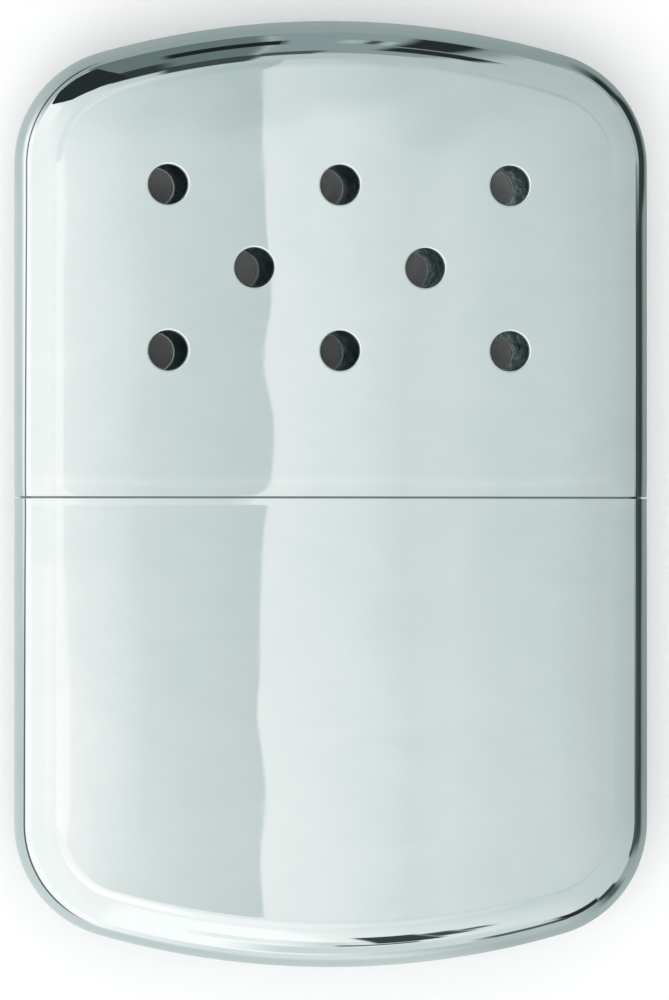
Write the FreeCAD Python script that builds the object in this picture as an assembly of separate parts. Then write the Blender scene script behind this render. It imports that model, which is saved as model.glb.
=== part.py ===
"""Catalytic hand warmer: a pocket case in two drawn halves, with a fuel tank below and a vented lid above.

The case lies on its back.  X runs across it, Y up its height towards the lid, Z through its thickness.
The origin is under the middle of the case, on the surface that the back rests on.  Sizes are in millimetres.
Every piece is drawn about the mid-plane of the case, and is lifted by half the thickness when it is saved.
"""

import FreeCAD, Part
import os

Vector = FreeCAD.Vector

# --- the outside of the closed case
case_height = 99.0
case_width = 66.8
case_thickness = 13.0
face_radius = 300.0  # gentle bow of the front and the back, across the width
crown_radius = 90.0  # arc of the top and the bottom end
corner_radius = 12.2  # between an end's arc and a side
edge_radius = 5.0  # rolled edge all the way round
edge_land = 0.3  # least straight strip left between the front's and the back's rolled edge

# --- the two drawn shells
lid_height = 50.0
shell_sheet = 0.5
seam_gap = 0.2
mouth_round = 0.3  # outer corner of each shell's mouth

# --- vents, punched through the front and the back of the lid
vent_diameter = 4.1
vent_pitch_across = 18.0
vent_pitch_down = 8.65
vent_first_row = 17.3  # from the top of the lid
vent_rows = (3, 2, 3)  # vents in each row, from the top
vent_edge_round = 0.2

# --- collar: an upturned cup soldered into the tank's mouth, which the lid slides over
collar_sheet = 0.4
collar_rise = 5.0  # above the seam
collar_lap = 6.0  # below the seam
collar_shoulder_round = 0.7
lid_fit = 0.12  # between the collar and the inside of the lid

# --- oblong filler neck, brazed into the top of the collar
neck_width = 23.6
neck_depth = 6.6
neck_corner = 2.4
neck_sheet = 0.4
neck_rise = 3.4
neck_tail = 0.8  # below the underside of the collar's top
neck_flange = 0.9  # turned out under the collar's top
flange_clearance = 0.25  # between the flange and the collar's wall
neck_lip_round = 0.15
braze_gap = 0.03

# --- absorbent packing
packing_clearance = 0.3
wad_count = 4
wad_gap = 0.3
felt_depth = 5.0  # pad that fills the lower part of the collar
wick_recess = 1.2  # the wick's top, below the lip of the neck
wick_clearance = 0.1

# --- burner: pushes over the neck
burner_sheet = 0.3
burner_fit = 0.12  # between the skirt and the neck
burner_standoff = 0.15  # under the skirt
skirt_headroom = 0.75  # between the neck's lip and the skirt's ledge
skirt_ledge = 1.0  # turned in at the top of the skirt, under the tray
skirt_lip = 0.8  # turned out at the foot, to pull the burner off by
skirt_bend = 0.35  # between the lip and the wall
skirt_slits = 3  # along each long side
slit_width = 0.5
slit_height = 2.0
tray_sheet = 0.3
tray_hole = 1.2
tray_hole_pitch = 2.2
tray_hole_rows = 2
gauze_thickness = 0.25
gauze_window = 1.0
gauze_pitch = 1.5
gauze_border = 0.8
mat_thickness = 1.6
mat_clearance = 0.15
cage_gap = 0.03  # between the cage and what it holds
cage_lap = 1.9  # over the upper part of the skirt
cage_lip = 1.1  # turned in over the upper gauze
cage_bars = 3
bar_width = 0.8
cage_top_round = 0.5
port_count = 6  # air ports along each long side
port_width = 2.2
port_height = 0.8

OVERRUN = 1.0  # how far a cutter reaches past what it cuts


# --- sizes that follow from those above
def full_round(width, thickness, radius):
    """Radius of an edge that would run all the way from the front face to the back face at a side."""
    return (radius * thickness - width**2 / 4 - thickness**2 / 4) / (2 * radius - width)


edge_round = min(edge_radius, full_round(case_width, case_thickness, face_radius) - edge_land / 2)
half_width = case_width / 2
half_thickness = case_thickness / 2
top_end = case_height / 2
bottom_end = -case_height / 2
seam = top_end - lid_height
collar_inset = shell_sheet + lid_fit
collar_top = seam + collar_rise
collar_foot = seam - collar_lap
collar_underside = collar_top - collar_sheet
neck_lip = collar_top + neck_rise
neck_foot = collar_underside - neck_tail
felt_top = neck_foot - neck_sheet
felt_foot = felt_top - felt_depth
skirt_foot = collar_top + burner_standoff
skirt_top = neck_lip + skirt_headroom + burner_sheet
tray_top = skirt_top + tray_sheet
mat_foot = tray_top + gauze_thickness
mat_top = mat_foot + mat_thickness
cage_ceiling = mat_top + gauze_thickness
cage_top = cage_ceiling + burner_sheet
cage_foot = skirt_top - cage_lap
skirt_growth = burner_fit  # the skirt's inside, outwards from the neck's outside
cage_growth = skirt_growth + burner_sheet + cage_gap


# --- building blocks
def face_height(x, inset=0.0):
    """Height of the bowed front face above the mid-plane, at a distance x from the centre line."""
    radius = face_radius - inset
    return half_thickness - face_radius + (radius**2 - x**2) ** 0.5


def outline(inset):
    """Outline of the case seen from the front, moved inwards by inset: crowned ends and straight sides."""
    side = half_width - inset
    crown = crown_radius - inset
    corner = corner_radius - inset
    crown_centre = top_end - crown_radius
    corner_x = half_width - corner_radius
    corner_rise = ((crown_radius - corner_radius) ** 2 - corner_x**2) ** 0.5
    corner_y = crown_centre + corner_rise
    towards = Vector(corner_x, corner_rise, 0).normalize()
    middle = (towards + Vector(1, 0, 0)).normalize()
    join = Vector(0, crown_centre, 0) + towards * crown
    corner_middle = Vector(corner_x, corner_y, 0) + middle * corner
    side_top = Vector(side, corner_y, 0)

    def flip(point, x, y):
        return Vector(point.x * x, point.y * y, 0)

    def end(y):
        apex = Vector(0, y * (crown_centre + crown), 0)
        return [
            Part.Arc(flip(side_top, -1, y), flip(corner_middle, -1, y), flip(join, -1, y)).toShape(),
            Part.Arc(flip(join, -1, y), apex, flip(join, 1, y)).toShape(),
            Part.Arc(flip(join, 1, y), flip(corner_middle, 1, y), flip(side_top, 1, y)).toShape(),
        ]

    sides = [
        Part.LineSegment(flip(side_top, x, 1), flip(side_top, x, -1)).toShape() for x in (-1, 1)
    ]
    edges = Part.sortEdges(end(1) + end(-1) + sides)[0]
    return Part.Wire(edges)


def bowed_slab(inset):
    """Slab as long as the case, between the bowed front and back, moved inwards by inset."""
    reach = half_width + OVERRUN
    length = case_height + 2 * OVERRUN
    side_z = face_height(reach, inset)
    apex_z = face_height(0, inset)
    y = bottom_end - OVERRUN
    around = ((-reach, side_z), (reach, side_z), (reach, -side_z), (-reach, -side_z))
    corners = [Vector(x, y, z) for x, z in around]
    edges = [
        Part.Arc(corners[0], Vector(0, y, apex_z), corners[1]).toShape(),
        Part.LineSegment(corners[1], corners[2]).toShape(),
        Part.Arc(corners[2], Vector(0, y, -apex_z), corners[3]).toShape(),
        Part.LineSegment(corners[3], corners[0]).toShape(),
    ]
    return Part.Face(Part.Wire(edges)).extrude(Vector(0, length, 0))


def pillow(inset=0.0):
    """The whole closed case as one solid with its rolled edge, every surface moved inwards by inset."""
    plate = Part.Face(outline(inset)).extrude(Vector(0, 0, case_thickness))
    plate.translate(Vector(0, 0, -half_thickness))
    blank = plate.common(bowed_slab(inset))
    curved = [face for face in blank.Faces if isinstance(face.Surface, Part.Cylinder)]
    bowed = [face for face in curved if face.Surface.Radius > crown_radius]
    return blank.makeFillet(edge_round - inset, [edge for face in bowed for edge in face.Edges])


def slab_between(low, high):
    """Block that takes in everything between two heights along Y."""
    reach = half_width + OVERRUN
    deep = half_thickness + OVERRUN
    return Part.makeBox(2 * reach, high - low, 2 * deep, Vector(-reach, low, -deep))


def oblong(growth, low, high, width=neck_width, depth=neck_depth, corner=neck_corner):
    """Prism with round corners that stands along Y from low to high; growth moves its wall outwards."""
    x = width / 2 + growth
    z = depth / 2 + growth
    radius = corner + growth
    diagonal = radius * (1 - 0.5**0.5)
    points = []
    for sx, sz in ((1, 1), (-1, 1), (-1, -1), (1, -1)):
        ends = [Vector(sx * x, low, sz * (z - radius)), Vector(sx * (x - radius), low, sz * z)]
        middle = Vector(sx * (x - diagonal), low, sz * (z - diagonal))
        points.append((ends[0], middle, ends[1]) if sx == sz else (ends[1], middle, ends[0]))
    edges = []
    for corner_points, following in zip(points, points[1:] + points[:1]):
        edges.append(Part.Arc(*corner_points).toShape())
        edges.append(Part.LineSegment(corner_points[2], following[0]).toShape())
    return Part.Face(Part.Wire(edges)).extrude(Vector(0, high - low, 0))


def flat_faces(shape, y):
    """Faces that lie flat across the shape at height y."""
    return [f for f in shape.Faces if f.BoundBox.YLength < 1e-6 and abs(f.BoundBox.YMin - y) < 1e-6]


def rim(shape, y):
    """Outer edges of the flat face at height y."""
    return [edge for face in flat_faces(shape, y) for edge in face.OuterWire.Edges]


def root(shape, y):
    """Edges where a wall rises from the flat face at height y."""
    edges = []
    for face in flat_faces(shape, y):
        inner = [wire for wire in face.Wires if not wire.isSame(face.OuterWire)]
        edges += [edge for wire in inner for edge in wire.Edges]
    return edges


def spread(count, pitch):
    """Positions of count things, pitch apart, centred on nought."""
    return [(i - (count - 1) / 2) * pitch for i in range(count)]


# --- lid
def vent_places():
    """Centres of the vents in X and Y: rows of three and two, each row set half a pitch from the next."""
    places = []
    for row, count in enumerate(vent_rows):
        y = top_end - vent_first_row - row * vent_pitch_down
        places += [(x, y) for x in spread(count, vent_pitch_across)]
    return places


def lid_shell():
    """Vented upper half: drawn sheet, open below, with the vents' outer edges and the mouth rounded."""
    mouth = seam + seam_gap
    shell = pillow().common(slab_between(mouth, top_end + OVERRUN))
    shell = shell.cut(pillow(shell_sheet).common(slab_between(mouth - OVERRUN, top_end)))
    shell = shell.makeFillet(mouth_round, rim(shell, mouth))
    deep = half_thickness + OVERRUN
    for x, y in vent_places():
        shell = shell.cut(Part.makeCylinder(vent_diameter / 2, 2 * deep, Vector(x, y, -deep)))
    return shell.makeFillet(vent_edge_round, vent_rims(shell))


def vent_rims(shell):
    """The vents' edges on the outside of the lid, front and back."""
    rims = []
    for face in shell.Faces:
        if isinstance(face.Surface, Part.Cylinder) and abs(face.Surface.Radius - vent_diameter / 2) < 1e-6:
            loops = [edge for edge in face.Edges if edge.isClosed()]
            rims.append(max(loops, key=lambda edge: abs(edge.CenterOfMass.z)))
    return rims


# --- tank
def tank_shell():
    """Lower half: drawn sheet, open above, with its mouth rounded."""
    shell = pillow().common(slab_between(bottom_end - OVERRUN, seam))
    shell = shell.cut(pillow(shell_sheet).common(slab_between(bottom_end, seam + OVERRUN)))
    return shell.makeFillet(mouth_round, rim(shell, seam))


def inside_collar(clearance, low, high):
    """Slab that fills the collar's inside less a clearance, from low to high."""
    return pillow(collar_inset + collar_sheet + clearance).common(slab_between(low, high))


def tank_collar():
    """Upturned cup in the tank's mouth: its wall guides the lid, and its top carries the filler neck."""
    cup = pillow(collar_inset).common(slab_between(collar_foot, collar_top))
    cup = cup.makeFillet(collar_shoulder_round, rim(cup, collar_top))
    inside = inside_collar(0, collar_foot - OVERRUN, collar_underside)
    inner_round = max(collar_shoulder_round - collar_sheet, collar_sheet / 2)
    inside = inside.makeFillet(inner_round, rim(inside, collar_underside))
    cup = cup.cut(inside)
    return cup.cut(oblong(braze_gap, collar_underside - OVERRUN, collar_top + OVERRUN))


def filler_neck():
    """Oblong tube through the collar's top, with a flange turned out against the underside."""
    neck = oblong(0, neck_foot, neck_lip)
    flange = oblong(neck_flange, neck_foot, neck_foot + neck_tail)
    flange = flange.common(inside_collar(flange_clearance, neck_foot - OVERRUN, collar_underside + OVERRUN))
    neck = neck.fuse(flange).removeSplitter()
    neck = neck.makeFillet(neck_lip_round, rim(neck, neck_lip))
    return neck.cut(oblong(-neck_sheet, neck_foot - OVERRUN, neck_lip + OVERRUN))


def wick_felt():
    """Felt plug that draws the fuel up from the packing to the burner."""
    return oblong(-neck_sheet - wick_clearance, felt_top, neck_lip - wick_recess)


def packing_room():
    """Inside of the tank less the packing's clearance: wide below the collar, and narrower in it."""
    step = collar_foot - packing_clearance
    wide = pillow(shell_sheet + packing_clearance).common(slab_between(bottom_end, step))
    return wide.fuse(inside_collar(packing_clearance, step, felt_top))


def packing_felt():
    """Felt pad across the collar, between the wads and the neck."""
    return packing_room().common(slab_between(felt_foot, felt_top))


def packing_wads():
    """Wads of cotton, one above the other, that fill the tank from its bottom to the felt."""
    room = packing_room()
    low = bottom_end + shell_sheet + packing_clearance
    height = (felt_foot - low) / wad_count
    feet = [low + i * height for i in range(wad_count)]
    return [room.common(slab_between(foot, foot + height - wad_gap)) for foot in feet]


# --- burner
def burner_skirt():
    """Sleeve that grips the neck: slit into fingers, with a lip below and a ledge above for the tray."""
    outside = skirt_growth + burner_sheet
    lip_top = skirt_foot + burner_sheet
    sleeve = oblong(outside, skirt_foot, skirt_top)
    sleeve = sleeve.fuse(oblong(outside + skirt_lip, skirt_foot, lip_top)).removeSplitter()
    sleeve = sleeve.makeFillet(skirt_bend, root(sleeve, lip_top))
    ledge = skirt_top - burner_sheet
    sleeve = sleeve.cut(oblong(skirt_growth, skirt_foot - OVERRUN, ledge))
    sleeve = sleeve.cut(oblong(skirt_growth - skirt_ledge, ledge - OVERRUN, skirt_top + OVERRUN))
    straight = neck_width - 2 * neck_corner
    deep = neck_depth / 2 + outside + skirt_lip + OVERRUN
    for x in spread(skirt_slits, straight / skirt_slits):
        corner = Vector(x - slit_width / 2, skirt_foot - OVERRUN, -deep)
        sleeve = sleeve.cut(Part.makeBox(slit_width, slit_height + OVERRUN, 2 * deep, corner))
    return sleeve


def inside_cage(clearance, low, high):
    """Prism that fills the cage's inside less a clearance."""
    return oblong(cage_growth - clearance, low, high)


def burner_tray():
    """Pierced floor under the catalyst."""
    plate = inside_cage(cage_gap, skirt_top, tray_top)
    count = int((neck_width - 2 * neck_corner) // tray_hole_pitch) + 1
    through = tray_sheet + 2 * OVERRUN
    for z in spread(tray_hole_rows, tray_hole_pitch):
        for x in spread(count, tray_hole_pitch):
            low = Vector(x, skirt_top - OVERRUN, z)
            plate = plate.cut(Part.makeCylinder(tray_hole / 2, through, low, Vector(0, 1, 0)))
    return plate


def gauze(low):
    """Wire screen, as a thin plate with square openings."""
    plate = inside_cage(cage_gap, low, low + gauze_thickness)
    across = int((neck_width - 2 * gauze_border) // gauze_pitch)
    deep = int((neck_depth - 2 * gauze_border) // gauze_pitch)
    for x in spread(across, gauze_pitch):
        for z in spread(deep, gauze_pitch):
            corner = Vector(x - gauze_window / 2, low - OVERRUN, z - gauze_window / 2)
            plate = plate.cut(Part.makeBox(gauze_window, gauze_thickness + 2 * OVERRUN, gauze_window, corner))
    return plate


def catalyst_mat():
    """Pad of coated glass fibre where the fuel burns without a flame."""
    return inside_cage(mat_clearance, mat_foot, mat_top)


def burner_cage():
    """Cover that clamps the screens and the mat: barred window above, air ports along its long sides."""
    cage = oblong(cage_growth + burner_sheet, cage_foot, cage_top)
    cage = cage.makeFillet(cage_top_round, rim(cage, cage_top))
    cage = cage.cut(inside_cage(0, cage_foot - OVERRUN, cage_ceiling))
    window = oblong(cage_growth - cage_lip, cage_ceiling - OVERRUN, cage_top + OVERRUN)
    straight = neck_width - 2 * neck_corner
    deep = neck_depth / 2 + cage_growth + burner_sheet + OVERRUN
    for x in spread(cage_bars, straight / cage_bars):
        corner = Vector(x - bar_width / 2, cage_ceiling - 2 * OVERRUN, -deep)
        window = window.cut(Part.makeBox(bar_width, cage_top - cage_ceiling + 4 * OVERRUN, 2 * deep, corner))
    cage = cage.cut(window)
    port_y = (mat_foot + mat_top) / 2
    radius = port_height / 2
    for x in spread(port_count, straight / (port_count - 1)):
        cage = cage.cut(slot_cutter(x, port_y, port_width - port_height, radius, deep))
    return cage


def slot_cutter(x, y, length, radius, deep):
    """Round-ended slot along X that passes right through in Z."""
    block = Part.makeBox(length, 2 * radius, 2 * deep, Vector(x - length / 2, y - radius, -deep))
    for end in (-1, 1):
        block = block.fuse(Part.makeCylinder(radius, 2 * deep, Vector(x + end * length / 2, y, -deep)))
    return block.removeSplitter()


# --- saving
def save(node, shape):
    """Writes one node, lifted so that the back of the case rests at height nought."""
    shape = shape.copy()
    shape.translate(Vector(0, 0, half_thickness))
    shape.exportStep(os.path.join("parts", node + ".step"))
    state = "valid" if shape.isValid() else "NOT VALID"
    print(f"{node}: {len(shape.Solids)} solid, {shape.Volume:.1f} mm3, {state}")


def main():
    os.makedirs("parts", exist_ok=True)
    save("lid_shell", lid_shell())
    save("tank_shell", tank_shell())
    save("tank_collar", tank_collar())
    save("filler_neck", filler_neck())
    save("wick_felt", wick_felt())
    save("packing_felt", packing_felt())
    for number, wad in enumerate(packing_wads(), start=1):
        save(f"packing_wad_{number}", wad)
    save("burner_skirt", burner_skirt())
    save("burner_tray", burner_tray())
    save("lower_gauze", gauze(tray_top))
    save("catalyst_mat", catalyst_mat())
    save("upper_gauze", gauze(mat_top))
    save("burner_cage", burner_cage())


main()
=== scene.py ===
import math

import bmesh
import bpy
import numpy as np
from mathutils import Matrix, Vector


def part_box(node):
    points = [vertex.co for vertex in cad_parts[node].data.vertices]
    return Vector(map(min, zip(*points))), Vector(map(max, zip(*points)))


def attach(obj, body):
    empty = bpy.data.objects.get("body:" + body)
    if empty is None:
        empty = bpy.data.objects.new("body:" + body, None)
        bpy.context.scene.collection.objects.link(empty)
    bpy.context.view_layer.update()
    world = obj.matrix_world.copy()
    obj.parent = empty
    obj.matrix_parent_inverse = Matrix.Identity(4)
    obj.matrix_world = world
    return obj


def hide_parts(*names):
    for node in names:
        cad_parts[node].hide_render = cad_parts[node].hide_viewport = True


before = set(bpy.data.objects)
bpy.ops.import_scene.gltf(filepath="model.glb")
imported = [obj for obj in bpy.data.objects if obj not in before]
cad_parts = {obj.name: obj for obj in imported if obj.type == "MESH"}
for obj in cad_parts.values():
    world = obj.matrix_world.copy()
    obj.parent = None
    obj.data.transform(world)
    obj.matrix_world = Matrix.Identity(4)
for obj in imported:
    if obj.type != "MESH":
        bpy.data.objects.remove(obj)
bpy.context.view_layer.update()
print("frame loaded:", len(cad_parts), "nodes")

mm = 0.001
leftRight = np.array([-1.0, 1.0, 1.0])    # mirrors a point left to right
frontBack = np.array([1.0, 1.0, -1.0])    # and front to back


def spanOf(node):
    # a node's low and high corners as arrays, in mm
    low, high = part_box(node)
    return np.array(low) / mm, np.array(high) / mm


lidLow, lidHigh = spanOf("lid_shell")
tankHigh = spanOf("tank_shell")[1]

# the pressed case, in mm; the overall size comes from the frame
caseForm = {
    "halfWidth": lidHigh[0],
    "halfHeight": lidHigh[1],
    "thickness": lidHigh[2],
    "faceRadius": 300.0,      # bow of the two faces across the width
    "crownRadius": 90.0,      # outline of the two ends
    "cornerRadius": 12.2,
    "edgeRadius": 5.0,        # the rolled edge between face and rim, at most
    "edgeLand": 0.3,          # least flat between the front's and the back's rolled edge
    "sheet": 0.5,
    "mouthRoundOut": 0.035,
    "mouthRoundIn": 0.05,
    "lidDip": 0.049,          # the lid's sheet is pulled in a little along its mouth
    "lidDipLength": 2.52,
    "tankDip": 0.026,         # the tank's is pulled in just below its mouth and rises to it again
    "tankRise": 0.68,
    "tankDipLength": 7.5,
    # where the rows lie near the mouth, from it
    "mouthRows": (0, 0.1, 0.22, 0.36, 0.5, 0.57, 0.64, 0.8, 1.05, 1.4, 1.9, 2.5, 3.2, 4.0),
    "evenFrom": 5.0,          # from here to the vents the rows are even
    "evenRows": 11,
    "capRows": 10,            # rows from the vents to the rolled edge of the end
    "cornerSteps": 26,
    "bandSteps": 20,          # steps round a rolled edge
    "roundSteps": 5,          # steps round the small rounds of a mouth or a vent
    "cellSteps": 16,          # grid steps across one vent cell
}

# with this edge radius the front's and the back's rolled edges would just meet at the rim
fullEdge = caseForm["faceRadius"] * caseForm["thickness"] - caseForm["halfWidth"] ** 2
fullEdge -= caseForm["thickness"] ** 2 / 4
fullEdge /= 2 * caseForm["faceRadius"] - 2 * caseForm["halfWidth"]
caseForm["edgeRadius"] = min(caseForm["edgeRadius"], fullEdge - caseForm["edgeLand"] / 2)

# the punched vents of the lid, in mm; they stand in cells, and a row names its columns from the middle one
ventForm = {
    "radius": 2.05,
    "pitchAcross": 9.0,       # half the distance between two vents of a row
    "pitchDown": 8.65,
    "firstRow": 17.3,         # below the top of the crown
    "columns": 5,
    "rows": ((-2, 0, 2), (-1, 1), (-2, 0, 2)),
    "edgeRound": 0.24,
    "burrRound": 0.1,
    "rings": (0, 0.3, 0.56, 0.76, 0.89, 0.96, 1.0),    # where rings lie between a cell's border and its vent
}

# points in one cell of this size, in mm, become one; the shift keeps round numbers off the cells' borders
weldForm = {"cell": 0.0008, "fineCell": 0.0003, "shift": 0.3717}


def patch(points, normals, keep=None, look=0):
    # one grid of points with its outward normals; keep says which of its quads are made
    return {"points": points, "normals": normals, "keep": keep, "look": look}


def joinPatches(name, patches, looks, cell=weldForm["cell"]):
    # welds grids into one mesh in metres; a quad whose winding disagrees with its normals is turned round
    points, normals, quads, lookOf = [], [], [], []
    start = 0
    for grid in patches:
        rows, columns = grid["points"].shape[:2]
        number = np.arange(rows * columns).reshape(rows, columns) + start
        quad = np.stack([number[:-1, :-1], number[1:, :-1], number[1:, 1:], number[:-1, 1:]], -1)
        if grid["keep"] is not None:
            quad = quad[grid["keep"]]
        quads.append(quad.reshape(-1, 4))
        lookOf.append(np.full(len(quads[-1]), grid["look"]))
        points.append(grid["points"].reshape(-1, 3))
        normals.append(grid["normals"].reshape(-1, 3))
        start += rows * columns
    points, normals = np.concatenate(points), np.concatenate(normals)
    quads, lookOf = np.concatenate(quads), np.concatenate(lookOf)
    normals = normals / np.maximum(np.linalg.norm(normals, axis=1, keepdims=True), 1e-9)
    key = np.floor(points / cell + weldForm["shift"]).astype(np.int64)
    _, first, back = np.unique(key, axis=0, return_index=True, return_inverse=True)
    points, normals, quads = points[first], normals[first], back.reshape(-1)[quads]
    a, b, c, d = (points[quads[:, i]] for i in range(4))
    flat = np.cross(c - a, d - b)
    turned = np.einsum("ij,ij->i", flat, normals[quads].sum(1)) < 0
    quads[turned] = quads[turned][:, ::-1]
    faces, faceLook = [], []
    for quad, look in zip(quads.tolist(), lookOf.tolist()):
        loop = [v for i, v in enumerate(quad) if v != quad[i - 1]]
        if len(set(loop)) > 2:
            faces.append(loop)
            faceLook.append(look)
    mesh = bpy.data.meshes.new(name)
    mesh.from_pydata((points * mm).tolist(), [], faces)
    mesh.polygons.foreach_set("use_smooth", [True] * len(faces))
    mesh.polygons.foreach_set("material_index", faceLook)
    for look in looks:
        mesh.materials.append(look)
    mesh.update()
    mesh.normals_split_custom_set_from_vertices(normals.tolist())
    piece = bpy.data.objects.new(name, mesh)
    bpy.context.scene.collection.objects.link(piece)
    return piece


def linear(code):
    # sRGB hex to a linear colour, by the standard curve
    value = [int(code[i:i + 2], 16) / 255 for i in (1, 3, 5)]
    return tuple(v / 12.92 if v <= 0.04045 else ((v + 0.055) / 1.055) ** 2.4 for v in value) + (1.0,)


def addNode(tree, kind, settings=None, **sockets):
    # settings are the node's own properties, with stops in order for a colour ramp; sockets take a link,
    # a plain value or a hex colour, by name with _ for a space, or by number as i0, i1; the answer is the
    # node's outputs
    node = tree.nodes.new(kind)
    settings = dict(settings or {})
    stops = settings.pop("stops", ())
    for key, value in settings.items():
        setattr(node, key, value)
    for i, (place, colour) in enumerate(stops[:1] + stops[-1:] + stops[1:-1]):
        element = node.color_ramp.elements[i] if i < 2 else node.color_ramp.elements.new(place)
        element.position = place
        element.color = linear(colour) if isinstance(colour, str) else colour
    for key, value in sockets.items():
        socket = node.inputs[int(key[1:]) if key[1:].isdigit() else key.replace("_", " ")]
        if isinstance(value, bpy.types.NodeSocket):
            tree.links.new(value, socket)
        elif isinstance(value, str):
            socket.default_value = linear(value)
        elif socket.type == "RGBA" and not isinstance(value, tuple):
            socket.default_value = (value, value, value, 1)
        else:
            socket.default_value = value
    return node.outputs


maths, vectorMaths = "ShaderNodeMath", "ShaderNodeVectorMath"
mixing, ranging = "ShaderNodeMix", "ShaderNodeMapRange"
bumping, coating = "ShaderNodeBump", "ShaderNodeBsdfPrincipled"
add, multiply, subtract = ({"operation": name} for name in ("ADD", "MULTIPLY", "SUBTRACT"))
colours, colourTimes = {"data_type": "RGBA"}, {"data_type": "RGBA", "blend_type": "MULTIPLY"}
smooth = {"interpolation_type": "SMOOTHSTEP"}


def newLook(name):
    # an empty material, its tree and the object's own coordinates
    look = bpy.data.materials.new(name)
    look.use_nodes = True
    look.node_tree.nodes.clear()
    return look, look.node_tree, addNode(look.node_tree, "ShaderNodeTexCoord")["Object"]


def grain(tree, place, spacing, detail=3.0, twist=0.0):
    # noise stretched so that its marks are about spacing mm apart on each axis
    scale = tuple(1 / (step * mm) for step in spacing)
    stretched = addNode(tree, "ShaderNodeMapping", i3=scale, Vector=place)[0]
    return addNode(tree, "ShaderNodeTexNoise", Scale=1.0, Detail=detail, Distortion=twist,
                   Vector=stretched)["Fac"]


# In every material below a pattern is given by its spacing in mm on each axis, a relief by its depth in mm,
# roughness from and to, and tones by their place on the pattern.
polishedForm = {
    "tints": ("#E3EDEC", "#E7F0EF"),
    "roughness": (0.006, 0.034),
    "wave": (28, 28, 28),
    "waveDepth": 0.17,
    "hair": (9, 0.3, 1.1),
    "hairDepth": 0.0003,
    "hairStrength": 0.3,
    "haze": (7, 4, 7),
    "hazeSpan": (0.3, 0.7),
}


def polishedChrome():
    # bright chromium plate over drawn brass, buffed: a true mirror with a faint blue-green cast,
    # slow waves left by the buffing wheel, a thin haze in clouds and hair-fine wipe marks
    form = polishedForm
    look, tree, place = newLook("polishedChrome")
    slow = grain(tree, place, form["wave"], detail=1.5)
    wave = addNode(tree, bumping, Strength=1.0, Distance=form["waveDepth"] * mm, Height=slow)[0]
    hair = grain(tree, place, form["hair"], twist=0.6)
    mark = addNode(tree, bumping, Strength=form["hairStrength"], Distance=form["hairDepth"] * mm,
                   Height=hair, Normal=wave)[0]
    haze = grain(tree, place, form["haze"], detail=6.0, twist=1.0)
    (low, high), (least, most), (darker, paler) = form["hazeSpan"], form["roughness"], form["tints"]
    rough = addNode(tree, ranging, Value=haze, i1=low, i2=high, i3=least, i4=most)[0]
    cloud = addNode(tree, ranging, Value=haze, i1=low, i2=high)[0]
    tint = addNode(tree, mixing, colours, Factor=cloud, i6=darker, i7=paler)[2]
    plate = addNode(tree, coating, Metallic=1.0, Base_Color=tint, Roughness=rough, Normal=mark)[0]
    addNode(tree, "ShaderNodeOutputMaterial", Surface=plate)
    return look


drawnForm = {
    "tones": ((0.3, "#869A9D"), (0.7, "#B0C2C4")),
    "roughness": (0.18, 0.32),
    "blotch": (3.8, 3.8, 3.8),
    "peel": (0.7, 0.7, 0.7),
    "peelDepth": 0.06,
    "peelStrength": 0.6,
}


def drawnChrome():
    # the unbuffed inside of the drawn cups: plated but half matt, with a fine orange peel and blotches
    # of dried fuel
    form = drawnForm
    look, tree, place = newLook("drawnChrome")
    blotch = grain(tree, place, form["blotch"])
    peel = grain(tree, place, form["peel"])
    bump = addNode(tree, bumping, Strength=form["peelStrength"], Distance=form["peelDepth"] * mm,
                   Height=peel)[0]
    least, most = form["roughness"]
    rough = addNode(tree, ranging, Value=blotch, i3=least, i4=most)[0]
    tone = addNode(tree, "ShaderNodeValToRGB", {"stops": form["tones"]}, Fac=blotch)[0]
    plate = addNode(tree, coating, Metallic=1.0, Base_Color=tone, Roughness=rough, Normal=bump)[0]
    addNode(tree, "ShaderNodeOutputMaterial", Surface=plate)
    return look


satinForm = {
    "tones": ((0.3, "#C3CACC"), (0.7, "#D3DADB")),
    "roughness": (0.12, 0.32),
    "rub": (0.26, 16, 0.26),
    "rubDepth": 0.01,
    "rubStrength": 0.5,
    "cloud": (9, 9, 9),
    "creviceShade": (0.35, 0.12),      # mm above the tank's mouth: no painted shade over the first, full painted shade below the second
    # the tone of the painted shade in that crevice
    "creviceShadeTone": "#868D8D",
}


def satinChrome():
    # chromium over a drawn cup, not buffed: satin, with rub marks along the way the lid slides, and painted
    # shade darkening it towards the crevice at its foot
    form = satinForm
    look, tree, place = newLook("satinChrome")
    rub = grain(tree, place, form["rub"])
    cloud = grain(tree, place, form["cloud"], detail=4.0)
    bump = addNode(tree, bumping, Strength=form["rubStrength"], Distance=form["rubDepth"] * mm, Height=rub)[0]
    least, most = form["roughness"]
    rough = addNode(tree, ranging, Value=rub, i3=least, i4=most)[0]
    tone = addNode(tree, "ShaderNodeValToRGB", {"stops": form["tones"]}, Fac=cloud)[0]
    height = addNode(tree, "ShaderNodeSeparateXYZ", Vector=place)[1]
    # painted shade: the tone darkens towards the crevice at the tank's mouth, where lid and tank meet
    noShadeHeight, fullShadeHeight = (tankHigh[1] * mm + above * mm for above in form["creviceShade"])
    creviceShade = addNode(tree, ranging, Value=height, i1=noShadeHeight, i2=fullShadeHeight)[0]
    tone = addNode(tree, mixing, colours, i0=creviceShade, i6=tone, i7=form["creviceShadeTone"])[2]
    plate = addNode(tree, coating, Metallic=1.0, Base_Color=tone, Roughness=rough, Normal=bump)[0]
    addNode(tree, "ShaderNodeOutputMaterial", Surface=plate)
    return look


nickelForm = {
    "tones": ((0.3, "#B7B1A4"), (0.7, "#CFCABE")),
    "roughness": (0.14, 0.3),
    "rub": (1.1, 0.2, 1.1),
    "rubDepth": 0.008,
    "rubStrength": 0.4,
    "cloud": (2.5, 2.5, 2.5),
}


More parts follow.
